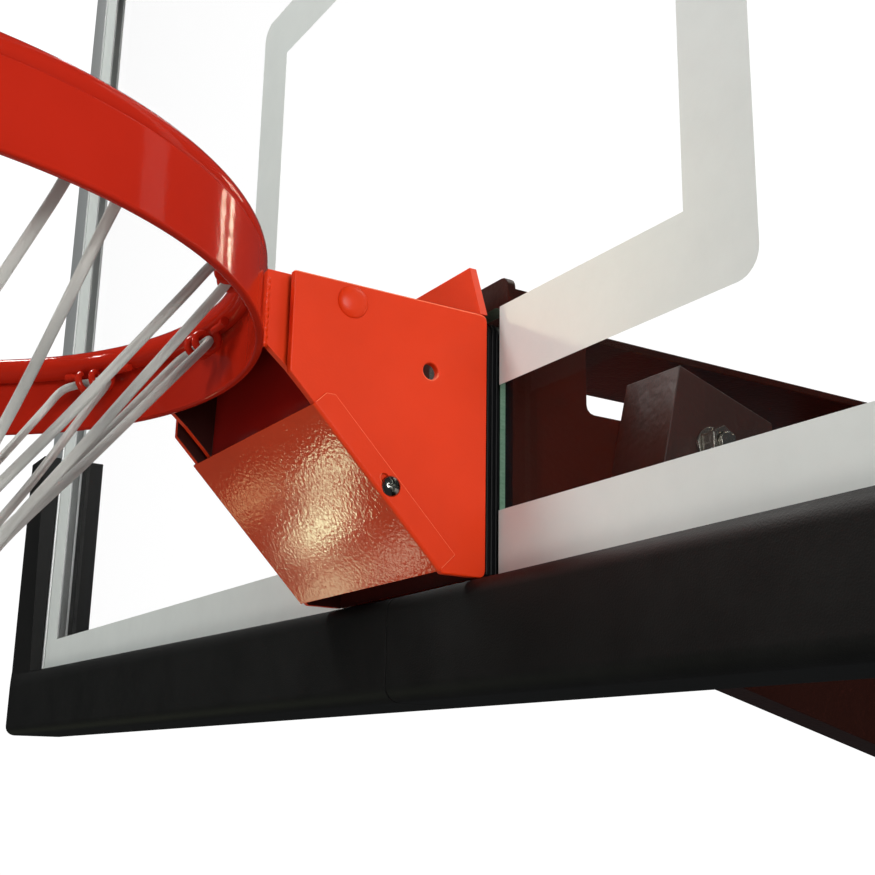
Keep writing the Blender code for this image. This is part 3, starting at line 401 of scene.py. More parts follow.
def startMaterial(name, colour, roughness, metallic=0.0, **plain):
    mat = bpy.data.materials.new(name)
    mat.use_nodes = True
    shader = mat.node_tree.nodes["Principled BSDF"]
    shader.inputs["Base Color"].default_value = (*colour, 1)
    shader.inputs["Roughness"].default_value = roughness
    shader.inputs["Metallic"].default_value = metallic
    for key, value in plain.items():
        shader.inputs[key.replace("_", " ")].default_value = value
    return mat, mat.node_tree, shader


def placeGroup(tree, name, **values):
    node = tree.nodes.new("ShaderNodeGroup")
    node.node_tree = groups[name]
    for key, value in values.items():
        node.inputs[key.replace("_", " ")].default_value = value
    return node


def toneBy(tree, shader, mask, dark, light, low=0.3, high=0.7):
    # base colour between two tones by a mask
    ramp = tree.nodes.new("ShaderNodeValToRGB")
    ramp.color_ramp.elements[0].position = low
    ramp.color_ramp.elements[0].color = (*dark, 1)
    ramp.color_ramp.elements[1].position = high
    ramp.color_ramp.elements[1].color = (*light, 1)
    tree.links.new(mask, ramp.inputs["Fac"])
    tree.links.new(ramp.outputs["Color"], shader.inputs["Base Color"])


def roughBy(tree, shader, mask, low, high):
    spread = tree.nodes.new("ShaderNodeMapRange")
    spread.inputs["To Min"].default_value = low
    spread.inputs["To Max"].default_value = high
    tree.links.new(mask, spread.inputs["Value"])
    tree.links.new(spread.outputs["Result"], shader.inputs["Roughness"])


def bumpBy(tree, shader, height, strength, distance):
    bump = tree.nodes.new("ShaderNodeBump")
    bump.inputs["Strength"].default_value = strength
    bump.inputs["Distance"].default_value = distance
    tree.links.new(height, bump.inputs["Height"])
    tree.links.new(bump.outputs["Normal"], shader.inputs["Normal"])


def shade(colour, factor):
    return tuple(min(1.0, c * factor) for c in colour)


def coatMaterial(name, colour, roughLow, roughHigh, bump, gloss=0.5, **peel):
    mat, tree, shader = startMaterial(name, colour, roughLow, 0.0, Specular_IOR_Level=gloss)
    skin = placeGroup(tree, "peel", **peel)
    toneBy(tree, shader, skin.outputs["Cloud"], shade(colour, 0.93), shade(colour, 1.05))
    roughBy(tree, shader, skin.outputs["Cloud"], roughLow, roughHigh)
    bumpBy(tree, shader, skin.outputs["Height"], bump, 0.0004)
    return mat


def grainMaterial(name, colour, roughLow, roughHigh, bump, scale, gloss=0.3):
    mat, tree, shader = startMaterial(name, colour, roughLow, 0.0, Specular_IOR_Level=gloss)
    skin = placeGroup(tree, "grain", Grain_Scale=scale)
    toneBy(tree, shader, skin.outputs["Scuff"], shade(colour, 0.75), shade(colour, 1.35))
    roughBy(tree, shader, skin.outputs["Scuff"], roughLow, roughHigh)
    bumpBy(tree, shader, skin.outputs["Height"], bump, 0.0003)
    return mat


def metalMaterial(name, colour, roughLow, roughHigh, bump, stretch, scale=400, metallic=1.0):
    mat, tree, shader = startMaterial(name, colour, roughLow, metallic)
    place = tree.nodes.new("ShaderNodeTexCoord")
    turn = tree.nodes.new("ShaderNodeMapping")
    turn.inputs["Scale"].default_value = stretch
    tree.links.new(place.outputs["Object"], turn.inputs["Vector"])
    skin = placeGroup(tree, "streaks", Streak_Scale=scale)
    tree.links.new(turn.outputs["Vector"], skin.inputs["Vector"])
    toneBy(tree, shader, skin.outputs["Cloud"], shade(colour, 0.85), shade(colour, 1.1))
    roughBy(tree, shader, skin.outputs["Height"], roughLow, roughHigh)
    bumpBy(tree, shader, skin.outputs["Height"], bump, 0.0001)
    return mat


railTone = (0.66, 0.67, 0.66)
finishes = {
    "orange": coatMaterial("orange powder coat", (0.730, 0.040, 0.005), 0.30, 0.40, 0.16, 0.22,
                           Peel_Scale=650, Ripple_Scale=70),
    "cover": coatMaterial("orange coat with heavy peel", (0.700, 0.062, 0.016), 0.06, 0.10, 0.21, 0.6,
                          Peel_Scale=430, Ripple_Scale=170, Ripple=0.2),
    # edge: a lighter orange that is a painted highlight along edges that catch the light
    "edge": coatMaterial("painted highlight on edges", (0.95, 0.20, 0.09), 0.20, 0.28, 0.10, 0.5,
                         Peel_Scale=650, Ripple_Scale=70),
    # inside: a near-black red that is painted shade on the inner faces of the housing and neck
    "inside": coatMaterial("painted shade inside", (0.045, 0.007, 0.005), 0.35, 0.50, 0.20, 0.2,
                           Peel_Scale=500, Ripple_Scale=90),
    "red": coatMaterial("gloss red coat", (0.480, 0.019, 0.007), 0.06, 0.10, 0.12, 0.22,
                        Peel_Scale=260, Ripple_Scale=40, Ripple=0.8),
    "wall": coatMaterial("gloss red coat in shade", (0.300, 0.010, 0.007), 0.08, 0.13, 0.20, 0.4,
                         Peel_Scale=300, Ripple_Scale=60, Ripple=0.8),
    "brown": coatMaterial("dark brown coat", (0.024, 0.0058, 0.0036), 0.26, 0.40, 0.6, 0.18,
                          Peel_Scale=300, Ripple_Scale=110, Ripple=0.8),
    "hammered": coatMaterial("hammered brown coat", (0.026, 0.0105, 0.0075), 0.36, 0.46, 1.0, 0.7,
                             Peel_Scale=170, Ripple_Scale=80, Ripple=0.6),
    "pad": grainMaterial("black moulded pad", (0.0085, 0.0084, 0.0078), 0.50, 0.66, 0.35, 1100, 0.30),
    "gasket": grainMaterial("black rubber seal", (0.003, 0.003, 0.0035), 0.40, 0.52, 0.10, 500, 0.10),
    "railAcross": metalMaterial("drawn aluminium across", railTone, 0.26, 0.42, 0.15, (0.01, 1, 1),
                                metallic=0.6),
    "railUp": metalMaterial("drawn aluminium upright", railTone, 0.26, 0.42, 0.15, (1, 1, 0.01),
                            metallic=0.6),
    "chrome": metalMaterial("dark chrome", (0.36, 0.36, 0.33), 0.08, 0.18, 0.10, (1, 1, 1), 260),
    "zinc": metalMaterial("zinc plated steel", (0.60, 0.58, 0.52), 0.16, 0.34, 0.30, (1, 1, 1), 260),
}


def makeCordMaterial():
    colour = (0.97, 0.96, 0.89)
    mat, tree, shader = startMaterial("white braided cord", colour, 0.70, 0.0, Sheen_Weight=0.25)
    skin = placeGroup(tree, "braid")
    # the grooves between strands are darkened: painted shade
    toneBy(tree, shader, skin.outputs["GrooveShade"], shade(colour, 1.03), shade(colour, 0.62), 0.05, 0.8)
    bumpBy(tree, shader, skin.outputs["Height"], 1.0, 0.0006)
    return mat


def makePrintMaterial():
    # screen-printed white: nearly even, with faint clouds
    colour = (0.74, 0.76, 0.72)
    mat, tree, shader = startMaterial("white screen print", colour, 0.50, 0.0, Specular_IOR_Level=0.25)
    skin = placeGroup(tree, "grain", Grain_Scale=1500)
    toneBy(tree, shader, skin.outputs["Scuff"], shade(colour, 0.97), shade(colour, 1.03))
    bumpBy(tree, shader, skin.outputs["Height"], 0.06, 0.0001)
    return mat


def makeGlassMaterials():
    # thin look: no bend in what is seen through it, and a faint mirror on its face
    pane, tree, shader = startMaterial("clear tempered glass", (1, 1, 1), 0.0, 0.0, IOR=1.01,
                                       Transmission_Weight=1.0, Coat_Weight=0.2, Coat_Roughness=0.0)
    edge, tree, shader = startMaterial("ground glass edge", (0.17, 0.23, 0.17), 0.35, 0.0, IOR=1.1,
                                       Transmission_Weight=0.4)
    place = tree.nodes.new("ShaderNodeTexCoord")
    turn = tree.nodes.new("ShaderNodeMapping")
    turn.inputs["Scale"].default_value = (0.3, 0.3, 1)
    tree.links.new(place.outputs["Object"], turn.inputs["Vector"])
    skin = placeGroup(tree, "streaks", Streak_Scale=700)
    tree.links.new(turn.outputs["Vector"], skin.inputs["Vector"])
    toneBy(tree, shader, skin.outputs["Height"], (0.10, 0.20, 0.13), (0.19, 0.31, 0.22))
    bumpBy(tree, shader, skin.outputs["Height"], 0.3, 0.0002)
    return [pane, edge]


finishes["cord"] = makeCordMaterial()
finishes["print"] = makePrintMaterial()
glassFinish = makeGlassMaterials()
print("finishes made")


# Board: glass, print, frame and the seal in the notch
board = {"notchHalf": 0.089, "notchTop": 0.0005, "groundDepth": 0.0045}


def buildGlass():
    pane = fromNode("glass", "glass_pane")
    soften(pane, rounding["glass"], 2)
    splitAt(pane, (0, board["groundDepth"], 0), (0, 1, 0))
    settle(pane, "board", glassFinish, "glass", "glass_pane", angle=20)
    for face in pane.data.polygons:
        inNotch = abs(face.normal.x) > 0.9 and abs(face.center.x) < board["notchHalf"] + 0.002
        if abs(face.normal.y) < 0.9 and not (inNotch and face.center.y > boardFront + board["groundDepth"]):
            face.material_index = 1
    pane.visible_shadow = False


printed = {"thick": 0.00012, "lift": 0.00006, "line": 0.0508, "corner": 0.015,
           "border": (0.8768, -0.1796, 0.8123), "target": (0.3048, -0.0508, 0.4064)}


def printStrip(name, low, high):
    front = -printed["lift"] - printed["thick"]
    return block(name, (low[0], front, low[1]), (high[0], -printed["lift"], high[1]))


def printFrame(name, half, foot, head, line, corner):
    # a printed rectangle with an open middle, parted by the notch where it crosses it
    sheet = printStrip(name, (-half, foot), (half, head))
    if corner:
        roundEdges(sheet, corner, 8, lambda a, b: abs(a.y - b.y) > printed["thick"] / 2)
    middle = block("middle", (-half + line, -0.01, foot + line), (half - line, 0.01, head - line))
    side = board["notchHalf"]
    notch = block("notch", (-side, -0.01, foot - 0.01), (side, 0.01, board["notchTop"]))
    cutWith(sheet, middle, notch)
    return settle(sheet, "board", finishes["print"], None)


def buildPrints():
    printFrame("borderPrint", *printed["border"], printed["line"], 0)
    printFrame("targetPrint", *printed["target"], printed["line"], printed["corner"])


def buildFrameRails():
    rails = {"top": "railAcross", "bottom": "railAcross", "left": "railUp", "right": "railUp"}
    for side, coat in rails.items():
        rail = fromNode("rail_" + side, "frame_" + side)
        soften(rail, rounding["rail"], 2)
        settle(rail, "board", finishes[coat], "aluminium", "frame_" + side)


seal = {"half": 0.0850, "top": -0.0085, "round": 0.010, "foot": -0.168, "ribs": (-0.0060, -0.0028, 0.0004),
        "ribRadius": 0.0009}


def buildSeal():
    body = fromNode("notchSeal", "notch_gasket")
    soften(body, rounding["seal"], 2, 40)
    routes = []
    for y in seal["ribs"]:
        x, z, r = seal["half"], seal["top"], seal["round"]
        route = [Vector((x, y, seal["foot"] + 0.001)), Vector((x, y, z - r))]
        for k in range(1, 9):
            turn = math.radians(90 * k / 8)
            route.append(Vector((x - r + r * math.cos(turn), y, z - r + r * math.sin(turn))))
        mirrored = [Vector((-p.x, p.y, p.z)) for p in reversed(route)]
        routes.append(route + mirrored)
    ribs = tubePiece("sealRibs", routes, seal["ribRadius"], 8)
    piece = joinAll([body, ribs])
    settle(piece, "board", finishes["gasket"], "rubber", "notch_gasket")


buildGlass()
buildPrints()
buildFrameRails()
buildSeal()
print("board built")


# Edge pads: two L-shaped halves with a channel for the frame
pad = {"front": -0.0240, "rear": 0.0518, "foot": -0.2380, "outer": 0.9355, "legTop": -0.1720,
       "innerSide": 0.8695, "top": 0.100, "joint": 0.0004, "round": 0.011, "upperRoll": 0.010}
frameSpace = {"front": -0.0033, "rear": 0.0308, "outer": 0.9148, "foot": -0.2173, "past": 0.2}
bracketSpace = {"half": 0.140, "top": -0.10}


def padHalf(name, side):
    def x(value):
        return side * value
    low, high = sorted((x(pad["joint"]), x(pad["outer"])))
    body = block(name, (low, pad["front"], pad["foot"]), (high, pad["rear"], pad["legTop"]))
    splitAt(body, (x(pad["innerSide"]), 0, 0), (1, 0, 0))
    chooseFaces(body, lambda c, n: n.z > 0.9 and abs(c.x) > pad["innerSide"])
    bpy.ops.mesh.extrude_region_move(TRANSFORM_OT_translate={"value": (0, 0, pad["top"] - pad["legTop"])})
    bpy.ops.object.mode_set(mode="OBJECT")

    wide = sorted((x(-0.05), x(frameSpace["outer"])))
    channel = block("channel", (wide[0], frameSpace["front"], frameSpace["foot"]),
                    (wide[1], frameSpace["rear"], frameSpace["past"]))
    relief = block("relief", (-bracketSpace["half"], frameSpace["rear"] - 0.001, frameSpace["foot"]),
                   (bracketSpace["half"], frameSpace["past"], bracketSpace["top"]))
    cutWith(body, channel, relief)

    def bothAt(one, two, place):
        return abs(one - place) < touching and abs(two - place) < touching

    def outerRoll(a, b):
        onFront = bothAt(a.y, b.y, pad["front"])
        onRear = bothAt(a.y, b.y, pad["rear"])
        onFoot = bothAt(a.z, b.z, pad["foot"])
        onOuter = bothAt(abs(a.x), abs(b.x), pad["outer"])
        return (onFront or onRear) and (onFoot or onOuter) or (onFoot and onOuter)

    def upperFront(a, b):
        return bothAt(a.y, b.y, pad["front"]) and bothAt(a.z, b.z, pad["legTop"])

    roundEdges(body, pad["upperRoll"], 6, upperFront)
    roundEdges(body, pad["round"], 6, outerRoll)
    soften(body, rounding["pad"], 4, 50)
    return body


def buildPads():
    for name, side in (("pad_left", -1), ("pad_right", 1)):
        half = padHalf("edge" + name.title().replace("_", ""), side)
        settle(half, "board", finishes["pad"], "pad", name, angle=45)


buildPads()
print("pads built")


# Ring, band and hooks
ring = {"centre": -0.386, "inner": 0.2286, "rod": 0.0085, "rodHeight": -0.0140, "sides": 192,
        "bandOuter": 0.2460, "bandThick": 0.005, "bandFoot": -0.0579, "bandTop": -0.0180}
rodMiddle = ring["inner"] + ring["rod"]


def buildRing():
    nothingPicked()
    bpy.ops.mesh.primitive_torus_add(location=(0, ring["centre"], ring["rodHeight"]), major_radius=rodMiddle,
                                     minor_radius=ring["rod"], major_segments=ring["sides"],
                                     minor_segments=28)
    rod = bpy.context.object
    rod.name = "ringRod"
    applyPlace(rod)
    settle(rod, "rim", finishes["red"], "red_coat", "ring_rod", angle=60)

    nothingPicked()
    tall = ring["bandTop"] - ring["bandFoot"]
    bpy.ops.mesh.primitive_cylinder_add(vertices=ring["sides"], radius=ring["bandOuter"], depth=tall,
                                        end_fill_type="NOTHING",
                                        location=(0, ring["centre"], ring["bandFoot"] + tall / 2))
    band = bpy.context.object
    band.name = "ringBand"
    applyPlace(band)
    finishWith(band, "SOLIDIFY", thickness=ring["bandThick"], offset=-1)
    soften(band, rounding["band"], 4, 50)
    settle(band, "rim", finishes["red"], "red_coat", "ring_band", angle=40)


hook = {"count": 12, "wire": 0.0023, "coil": 0.0063, "pitch": 0.0115, "turns": 2, "axisRadius": 0.2285,
        "axisHeight": -0.0305, "foot": 0.028, "straight": 0.85, "bend": 0.66, "sag": 0.0004,
        "beadWide": 1.15, "beadRipple": 0.003}


def hookRoute(angle):
    # along the rod, twice round as a coil, and up to the rod again
    reach = math.hypot(rodMiddle - hook["axisRadius"], ring["rodHeight"] - hook["axisHeight"])
    seat = (ring["rod"] + hook["wire"]) / reach
    footRadius = rodMiddle + (hook["axisRadius"] - rodMiddle) * seat
    footHeight = ring["rodHeight"] + (hook["axisHeight"] - ring["rodHeight"]) * seat
    half = hook["pitch"] * hook["turns"] / 2
    straight, bend = hook["foot"] * hook["straight"], hook["foot"] * hook["bend"]
    rough = [(-hook["foot"], footRadius, footHeight), (-straight, footRadius, footHeight),
             (-bend, footRadius, footHeight - hook["sag"])]
    steps = 16 * hook["turns"]
    for i in range(1, steps):
        turn = 2 * math.pi * hook["turns"] * i / steps
        radius = hook["axisRadius"] - hook["coil"] * math.sin(turn)
        height = hook["axisHeight"] + hook["coil"] * math.cos(turn)
        rough.append((-half + 2 * half * i / steps, radius, height))
    rough += [(bend, footRadius, footHeight - hook["sag"]), (straight, footRadius, footHeight),
              (hook["foot"], footRadius, footHeight)]
    return [ringSpot(radius, angle + math.degrees(along / radius), height) for along, radius, height in rough]


def buildHooks():
    beadRadius = hook["wire"] * hook["beadWide"]
    for i in range(hook["count"]):
        route = smoothThrough(hookRoute(360 // hook["count"] * i), 3)
        wire = tubePiece("wire", [route], hook["wire"], 12)
        ahead = route[0] - (route[3] - route[0]) * 0.1
        beads = [weldBead("bead", [ahead, route[4]], beadRadius, hook["beadRipple"]),
                 weldBead("bead", [route[-5], route[-1]], beadRadius, hook["beadRipple"])]
        piece = joinAll([wire, *beads])
        piece.name = "netHook_%02d" % (i + 1)
        settle(piece, "rim", finishes["red"], "red_coat", "net_hook_%02d" % (i + 1), angle=60, flat=False)


buildRing()
buildHooks()
print("ring built")


# Net: twelve loops on the hooks, three rows of crossed cords, a hem and a wrapped knot at each meeting
# leftHung and rightHung are the points of a loop in its coil: along the ring, down and inward
net = {"cord": 0.0027, "sides": 12, "turn": 15, "meeting": (0.1145, -0.1770), "hem": (0.106, -0.4335),
       "rows": ((0.111, -0.2090), (0.109, -0.2640), (0.106, -0.3190), (0.104, -0.3755)),
       "leftHung": ((-0.0245, 0.0055, 0.0045), (-0.0155, 0.0004, 0), (0, 0, 0), (0.0095, 0.0004, 0),
                    (0.0124, 0.0055, 0.0028)),
       "rightHung": ((-0.0014, 0.0068, 0.0034), (0.0002, 0.0014, 0.0004), (0.0060, 0, 0), (0.0155, 0.0004, 0),
                     (0.0245, 0.0055, 0.0045)),
       "sway": 0.0012, "wave": 0.0008, "hemRise": 0.004,
       "knotRadius": 0.0042, "knotPitch": 0.0044, "knotTurns": 2.6}


def rowSlots(row):
    return [2 * k + (row + 1) % 2 for k in range(hook["count"])]


def knotSpot(row, slot):
    radius, height = net["rows"][row]
    return ringSpot(radius, net["turn"] * slot, height)


def loopRoute(number):
    # from a knot, beside the neighbour's cord, straight up to the coil, through it and down again
    inside = []
    hung = net["rightHung" if 1 <= number <= 5 else "leftHung"]
    for along, down, inward in hung:
        radius = hook["axisRadius"] - inward
        angle = 2 * net["turn"] * number + math.degrees(along / radius)
        inside.append(ringSpot(radius, angle, hook["axisHeight"] - down))
    ends = []
    for side, knee in ((-1, inside[0]), (1, inside[-1])):
        slot = 2 * number + side
        beside = math.degrees(net["cord"] / net["meeting"][0])
        meeting = ringSpot(net["meeting"][0], net["turn"] * slot - side * beside, net["meeting"][1])
        sway = Vector((random.uniform(-1, 1), random.uniform(-1, 1), 0)) * net["sway"]
        ends.append([knotSpot(0, slot), meeting, meeting.lerp(knee, 0.45) + sway, meeting.lerp(knee, 0.86)])
    return smoothThrough([*ends[0], *inside, *reversed(ends[1])], 8)


def rowRoute(start, end):
    bend = Vector((random.uniform(-1, 1), random.uniform(-1, 1), 0)) * net["wave"]
    return smoothThrough([start, start.lerp(end, 0.33) + bend, start.lerp(end, 0.67) + bend * 0.6, end], 5)


def knotRoute(spot):
    # a wrapped knot: the cord wound round the ones it holds
    outward = Vector((spot.x, spot.y - ring["centre"], 0)).normalized()
    across = outward.cross(Vector((0, 0, 1)))
    steps = round(14 * net["knotTurns"])
    route = []
    for i in range(steps + 1):
        turn = 2 * math.pi * net["knotTurns"] * i / steps
        rise = (i / steps - 0.5) * net["knotPitch"] * net["knotTurns"]
        wide = net["knotRadius"] * (0.82 + 0.22 * math.sin(math.pi * i / steps))
        around = outward * math.cos(turn) + across * math.sin(turn) * 1.15
        route.append(spot + around * wide + Vector((0, 0, rise)))
    return route


def buildNet():
    routes = [loopRoute(number) for number in range(hook["count"])]
    for row in range(1, len(net["rows"])):
        for slot in rowSlots(row - 1):
            for step in (-1, 1):
                routes.append(rowRoute(knotSpot(row - 1, slot), knotSpot(row, slot + step)))
    last = len(net["rows"]) - 1
    rise = Vector((0, 0, net["hemRise"]))
    for slot in rowSlots(last):
        low = ringSpot(net["hem"][0], net["turn"] * (slot + 1), net["hem"][1])
        one, two = knotSpot(last, slot), knotSpot(last, slot + 2)
        routes.append(smoothThrough([one, one.lerp(low, 0.55), one.lerp(low, 0.85) + rise, low,
                                     two.lerp(low, 0.85) + rise, two.lerp(low, 0.55), two], 5))
    for row in range(len(net["rows"])):
        for slot in rowSlots(row):
            routes.append(knotRoute(knotSpot(row, slot)))
    cords = tubePiece("netCords", routes, net["cord"], net["sides"])
    settle(cords, "rim", finishes["cord"], "cord", "net", angle=80, flat=False)


buildNet()
print("net built")


# Housing, neck and cover
housing = {"top": -0.0076, "wallFoot": -0.055, "half": 0.0880}


def coatFaces(piece, index, test):
    for face in piece.data.polygons:
        if test(face.center, face.normal):
            face.material_index = index


def domeHead(side, seat, y, z, radius, height, segments, rings):
    # half of a flattened ball on the seat, which looks out to its side
    nothingPicked()
    bpy.ops.mesh.primitive_uv_sphere_add(segments=segments, ring_count=rings, radius=radius,
                                         location=(seat, y, z), rotation=(0, math.pi / 2, 0))
    head = bpy.context.object
    head.scale = (1, 1, height / radius)
    applyPlace(head)
    splitAt(head, (seat + side * 0.0001, 0, 0), (-side, 0, 0), clear_outer=True, use_fill=True)
    return head


def buildHousing():
    for side in ("left", "right"):
        cheek = fromNode("cheek_" + side + "_plate", "cheek_" + side)
        soften(cheek, rounding["housing"], 3, 40)
        coats = [finishes["orange"], finishes["inside"], finishes["edge"]]
        settle(cheek, "board", coats, "orange_coat", "cheek_" + side)
        # inner faces get the inside coat, which is painted shade; upper outer bevels get the edge coat, a
        # painted highlight
        coatFaces(cheek, 1, lambda c, n: c.x * n.x < -0.5 * abs(c.x))
        coatFaces(cheek, 2, lambda c, n: 0.2 < abs(n.x) < 0.97 and n.z > 0.1 and c.x * n.x > 0)
    plate = fromNode("housingBack", "back_plate")
    splitAt(plate, (0, 0, housing["top"]), (0, 0, 1))
    soften(plate, rounding["housing"], 3, 40)
    settle(plate, "board", [finishes["orange"], finishes["inside"]], "orange_coat", "back_plate")
    # its front face inside the housing gets the inside coat, which is painted shade
    coatFaces(plate, 1, lambda c, n: n.y < -0.5 and c.z < ringLevel + housing["top"])


pin = {"y": -0.1021, "z": -0.0192, "radius": 0.0060, "headRadius": 0.0098, "headHeight": 0.0036,
       "seat": 0.0880}


def buildPin():
    ends = [(side * pin["seat"], pin["y"], pin["z"]) for side in (-1, 1)]
    parts = [barBetween("pin", *ends, pin["radius"], 40)]
    for side, end in zip((-1, 1), ends):
        parts.append(domeHead(side, *end, pin["headRadius"], pin["headHeight"], 48, 32))
    piece = settle(joinAll(parts), "board", finishes["orange"], "orange_coat", "pivot_pin", angle=50)
    piece.name = "pivotPin"


def buildCover():
    sheet = fromNode("coverSheet", "cover_plate")
    soften(sheet, rounding["cover"], 2, 40)
    coats = [finishes["cover"], finishes["orange"], finishes["edge"]]
    settle(sheet, "board", coats, "orange_coat", "cover_plate", angle=30)
    coatFaces(sheet, 1, lambda c, n: abs(n.x) > 0.3)
    # rounded flange edges outside the cheeks get the edge coat, a painted highlight
    outside = housing["half"] + 0.0003
    coatFaces(sheet, 2, lambda c, n: abs(n.x) < 0.95 and abs(c.x) > outside and n.y + n.z > -0.1)


screw = {"radius": 0.0062, "height": 0.0036, "shank": 0.0024, "shankLong": 0.012, "sunk": 0.0004,
         "cross": 0.0014, "wing": 0.0036, "crossFloor": 0.35}
neckWeld = {"half": 0.0788, "foot": -0.054, "head": -0.012, "roof": -0.0090, "bead": 0.0026, "ripple": 0.0042,
            "sideOff": 0.0003, "roofOff": 0.0002, "roofTurn": 18, "roofStep": 2}


def buildCoverScrews():
    for side, node in ((-1, "cover_screw_left"), (1, "cover_screw_right")):
        low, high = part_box(node)
        middle = (low + high) / 2 - toFrame
        seat = (low.x if side < 0 else high.x) - side * screw["height"]
        y, z = middle.y, middle.z
        head = domeHead(side, seat, y, z, screw["radius"], screw["height"], 40, 24)
        top = seat + side * (screw["height"] + 0.001)
        deep = seat + side * screw["height"] * screw["crossFloor"]
        inner, outer = sorted((deep, top))
        wings = []
        for long, thin in ((screw["wing"], screw["cross"] / 2), (screw["cross"] / 2, screw["wing"])):
            wings.append(block("wing", (inner, y - long, z - thin), (outer, y + long, z + thin)))
        cutWith(head, *wings)
        shank = barBetween("shank", (seat - side * screw["shankLong"], y, z),
                           (seat + side * screw["sunk"], y, z), screw["shank"], 24)
        piece = settle(joinAll([head, shank]), "board", finishes["chrome"], "zinc", node, angle=35)
        piece.name = node.replace("cover_screw_", "coverScrew")


def buildNeck():
    neck = fromNode("neckPlates", "neck_bracket")
    soften(neck, rounding["neck"], 2, 40)
    beads = []
    reach = ring["bandOuter"]
    for side in (-1, 1):
        angle = side * math.degrees(math.asin(neckWeld["half"] / reach))
        foot = ringSpot(reach + neckWeld["sideOff"], angle, neckWeld["foot"])
        head = ringSpot(reach + neckWeld["sideOff"], angle, neckWeld["head"])
        beads.append(weldBead("bead", [foot, head], neckWeld["bead"], neckWeld["ripple"]))
    turns = range(-neckWeld["roofTurn"], neckWeld["roofTurn"] + 1, neckWeld["roofStep"])
    across = [ringSpot(reach + neckWeld["roofOff"], turn, neckWeld["roof"]) for turn in turns]
    beads.append(weldBead("bead", across, neckWeld["bead"], neckWeld["ripple"]))
    coats = [finishes["orange"], finishes["inside"], finishes["wall"]]
    neck = settle(joinAll([neck, *beads]), "rim", coats, "orange_coat", "neck_bracket")
    wallFoot = ringLevel + housing["wallFoot"]
    # inner faces and the roof's underside get the inside coat, painted shade; faces towards the front get the
    # darker wall red, also painted shade
    coatFaces(neck, 1, lambda c, n: c.x * n.x < -0.5 * abs(c.x) or n.z < -0.9 and c.z > wallFoot)
    coatFaces(neck, 2, lambda c, n: n.y < -0.9)


buildHousing()
buildPin()
buildCover()
buildCoverScrews()
buildNeck()
print("housing built")


# Rear bracket, arms and fasteners
rearSteel = ("rear_channel", "frame_lug_left", "frame_lug_right", "arm_bracket_left", "arm_bracket_right",
             "upper_arm_left", "upper_arm_right", "tie_plate", "lower_brace", "mount_plate")


def buildRearSteel():
    for node in rearSteel:
        coat = "hammered" if node.startswith("arm_bracket") else "brown"
        piece = fromNode(node + "_steel", node)
        soften(piece, rounding["steel"], 3, 40)
        settle(piece, "board", finishes[coat], "brown_coat", node)


def buildFasteners():
    for node in sorted(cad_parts):
        if node.startswith(("rim_bolt", "rim_nut", "lug_bolt", "arm_bolt", "arm_washer", "arm_nut")):
            piece = fromNode(node + "_zinc", node)
            soften(piece, rounding["fastener"], 2, 40)
            settle(piece, "board", finishes["zinc"], "zinc", node)


buildRearSteel()
buildFasteners()
print("rear steel built")


# Floor, world and lamps
stage = {"floor": ringLevel - 3.05, "size": 14, "glow": 0.42}


def buildFloor():
    nothingPicked()
    bpy.ops.mesh.primitive_plane_add(size=stage["size"], location=(0, 0, stage["floor"]))
    floor = bpy.context.object
    floor.name = "floor"
    mat, tree, shader = startMaterial("pale floor", (0.80, 0.80, 0.79), 0.6, Emission_Color=(1, 1, 1, 1))
    paths = tree.nodes.new("ShaderNodeLightPath")
    seen = mathNode(tree, "MAXIMUM", paths.outputs["Is Camera Ray"], paths.outputs["Is Transmission Ray"])
    glow = mathNode(tree, "MULTIPLY", seen, stage["glow"])
    tree.links.new(glow, shader.inputs["Emission Strength"])
    floor.data.materials.append(mat)
    floor.visible_glossy = False


def buildWorld():
    world = bpy.data.worlds.new("studio")
    bpy.context.scene.world = world
    world.use_nodes = True
    tree = world.node_tree
    plain = tree.nodes["Background"]
    shades = {"around": ((0.95, 0.97, 1.0, 1), 0.24), "mirrored": ((0.9, 0.95, 1.0, 1), 0.05),
              "seen": ((1, 1, 1, 1), 1.07)}
    plain.inputs["Color"].default_value, plain.inputs["Strength"].default_value = shades["around"]
    paths = tree.nodes.new("ShaderNodeLightPath")
    direct = mathNode(tree, "LESS_THAN", paths.outputs["Glossy Depth"], 0.5)
    through = mathNode(tree, "MULTIPLY", paths.outputs["Is Transmission Ray"], direct)
    seen = mathNode(tree, "MAXIMUM", paths.outputs["Is Camera Ray"], through)
    last = plain
    for name, when in (("mirrored", paths.outputs["Is Glossy Ray"]), ("seen", seen)):
        other = tree.nodes.new("ShaderNodeBackground")
        other.inputs["Color"].default_value, other.inputs["Strength"].default_value = shades[name]
        mix = tree.nodes.new("ShaderNodeMixShader")
        tree.links.new(when, mix.inputs["Fac"])
        tree.links.new(last.outputs[0], mix.inputs[1])
        tree.links.new(other.outputs["Background"], mix.inputs[2])
        last = mix
    tree.links.new(last.outputs["Shader"], tree.nodes["World Output"].inputs["Surface"])


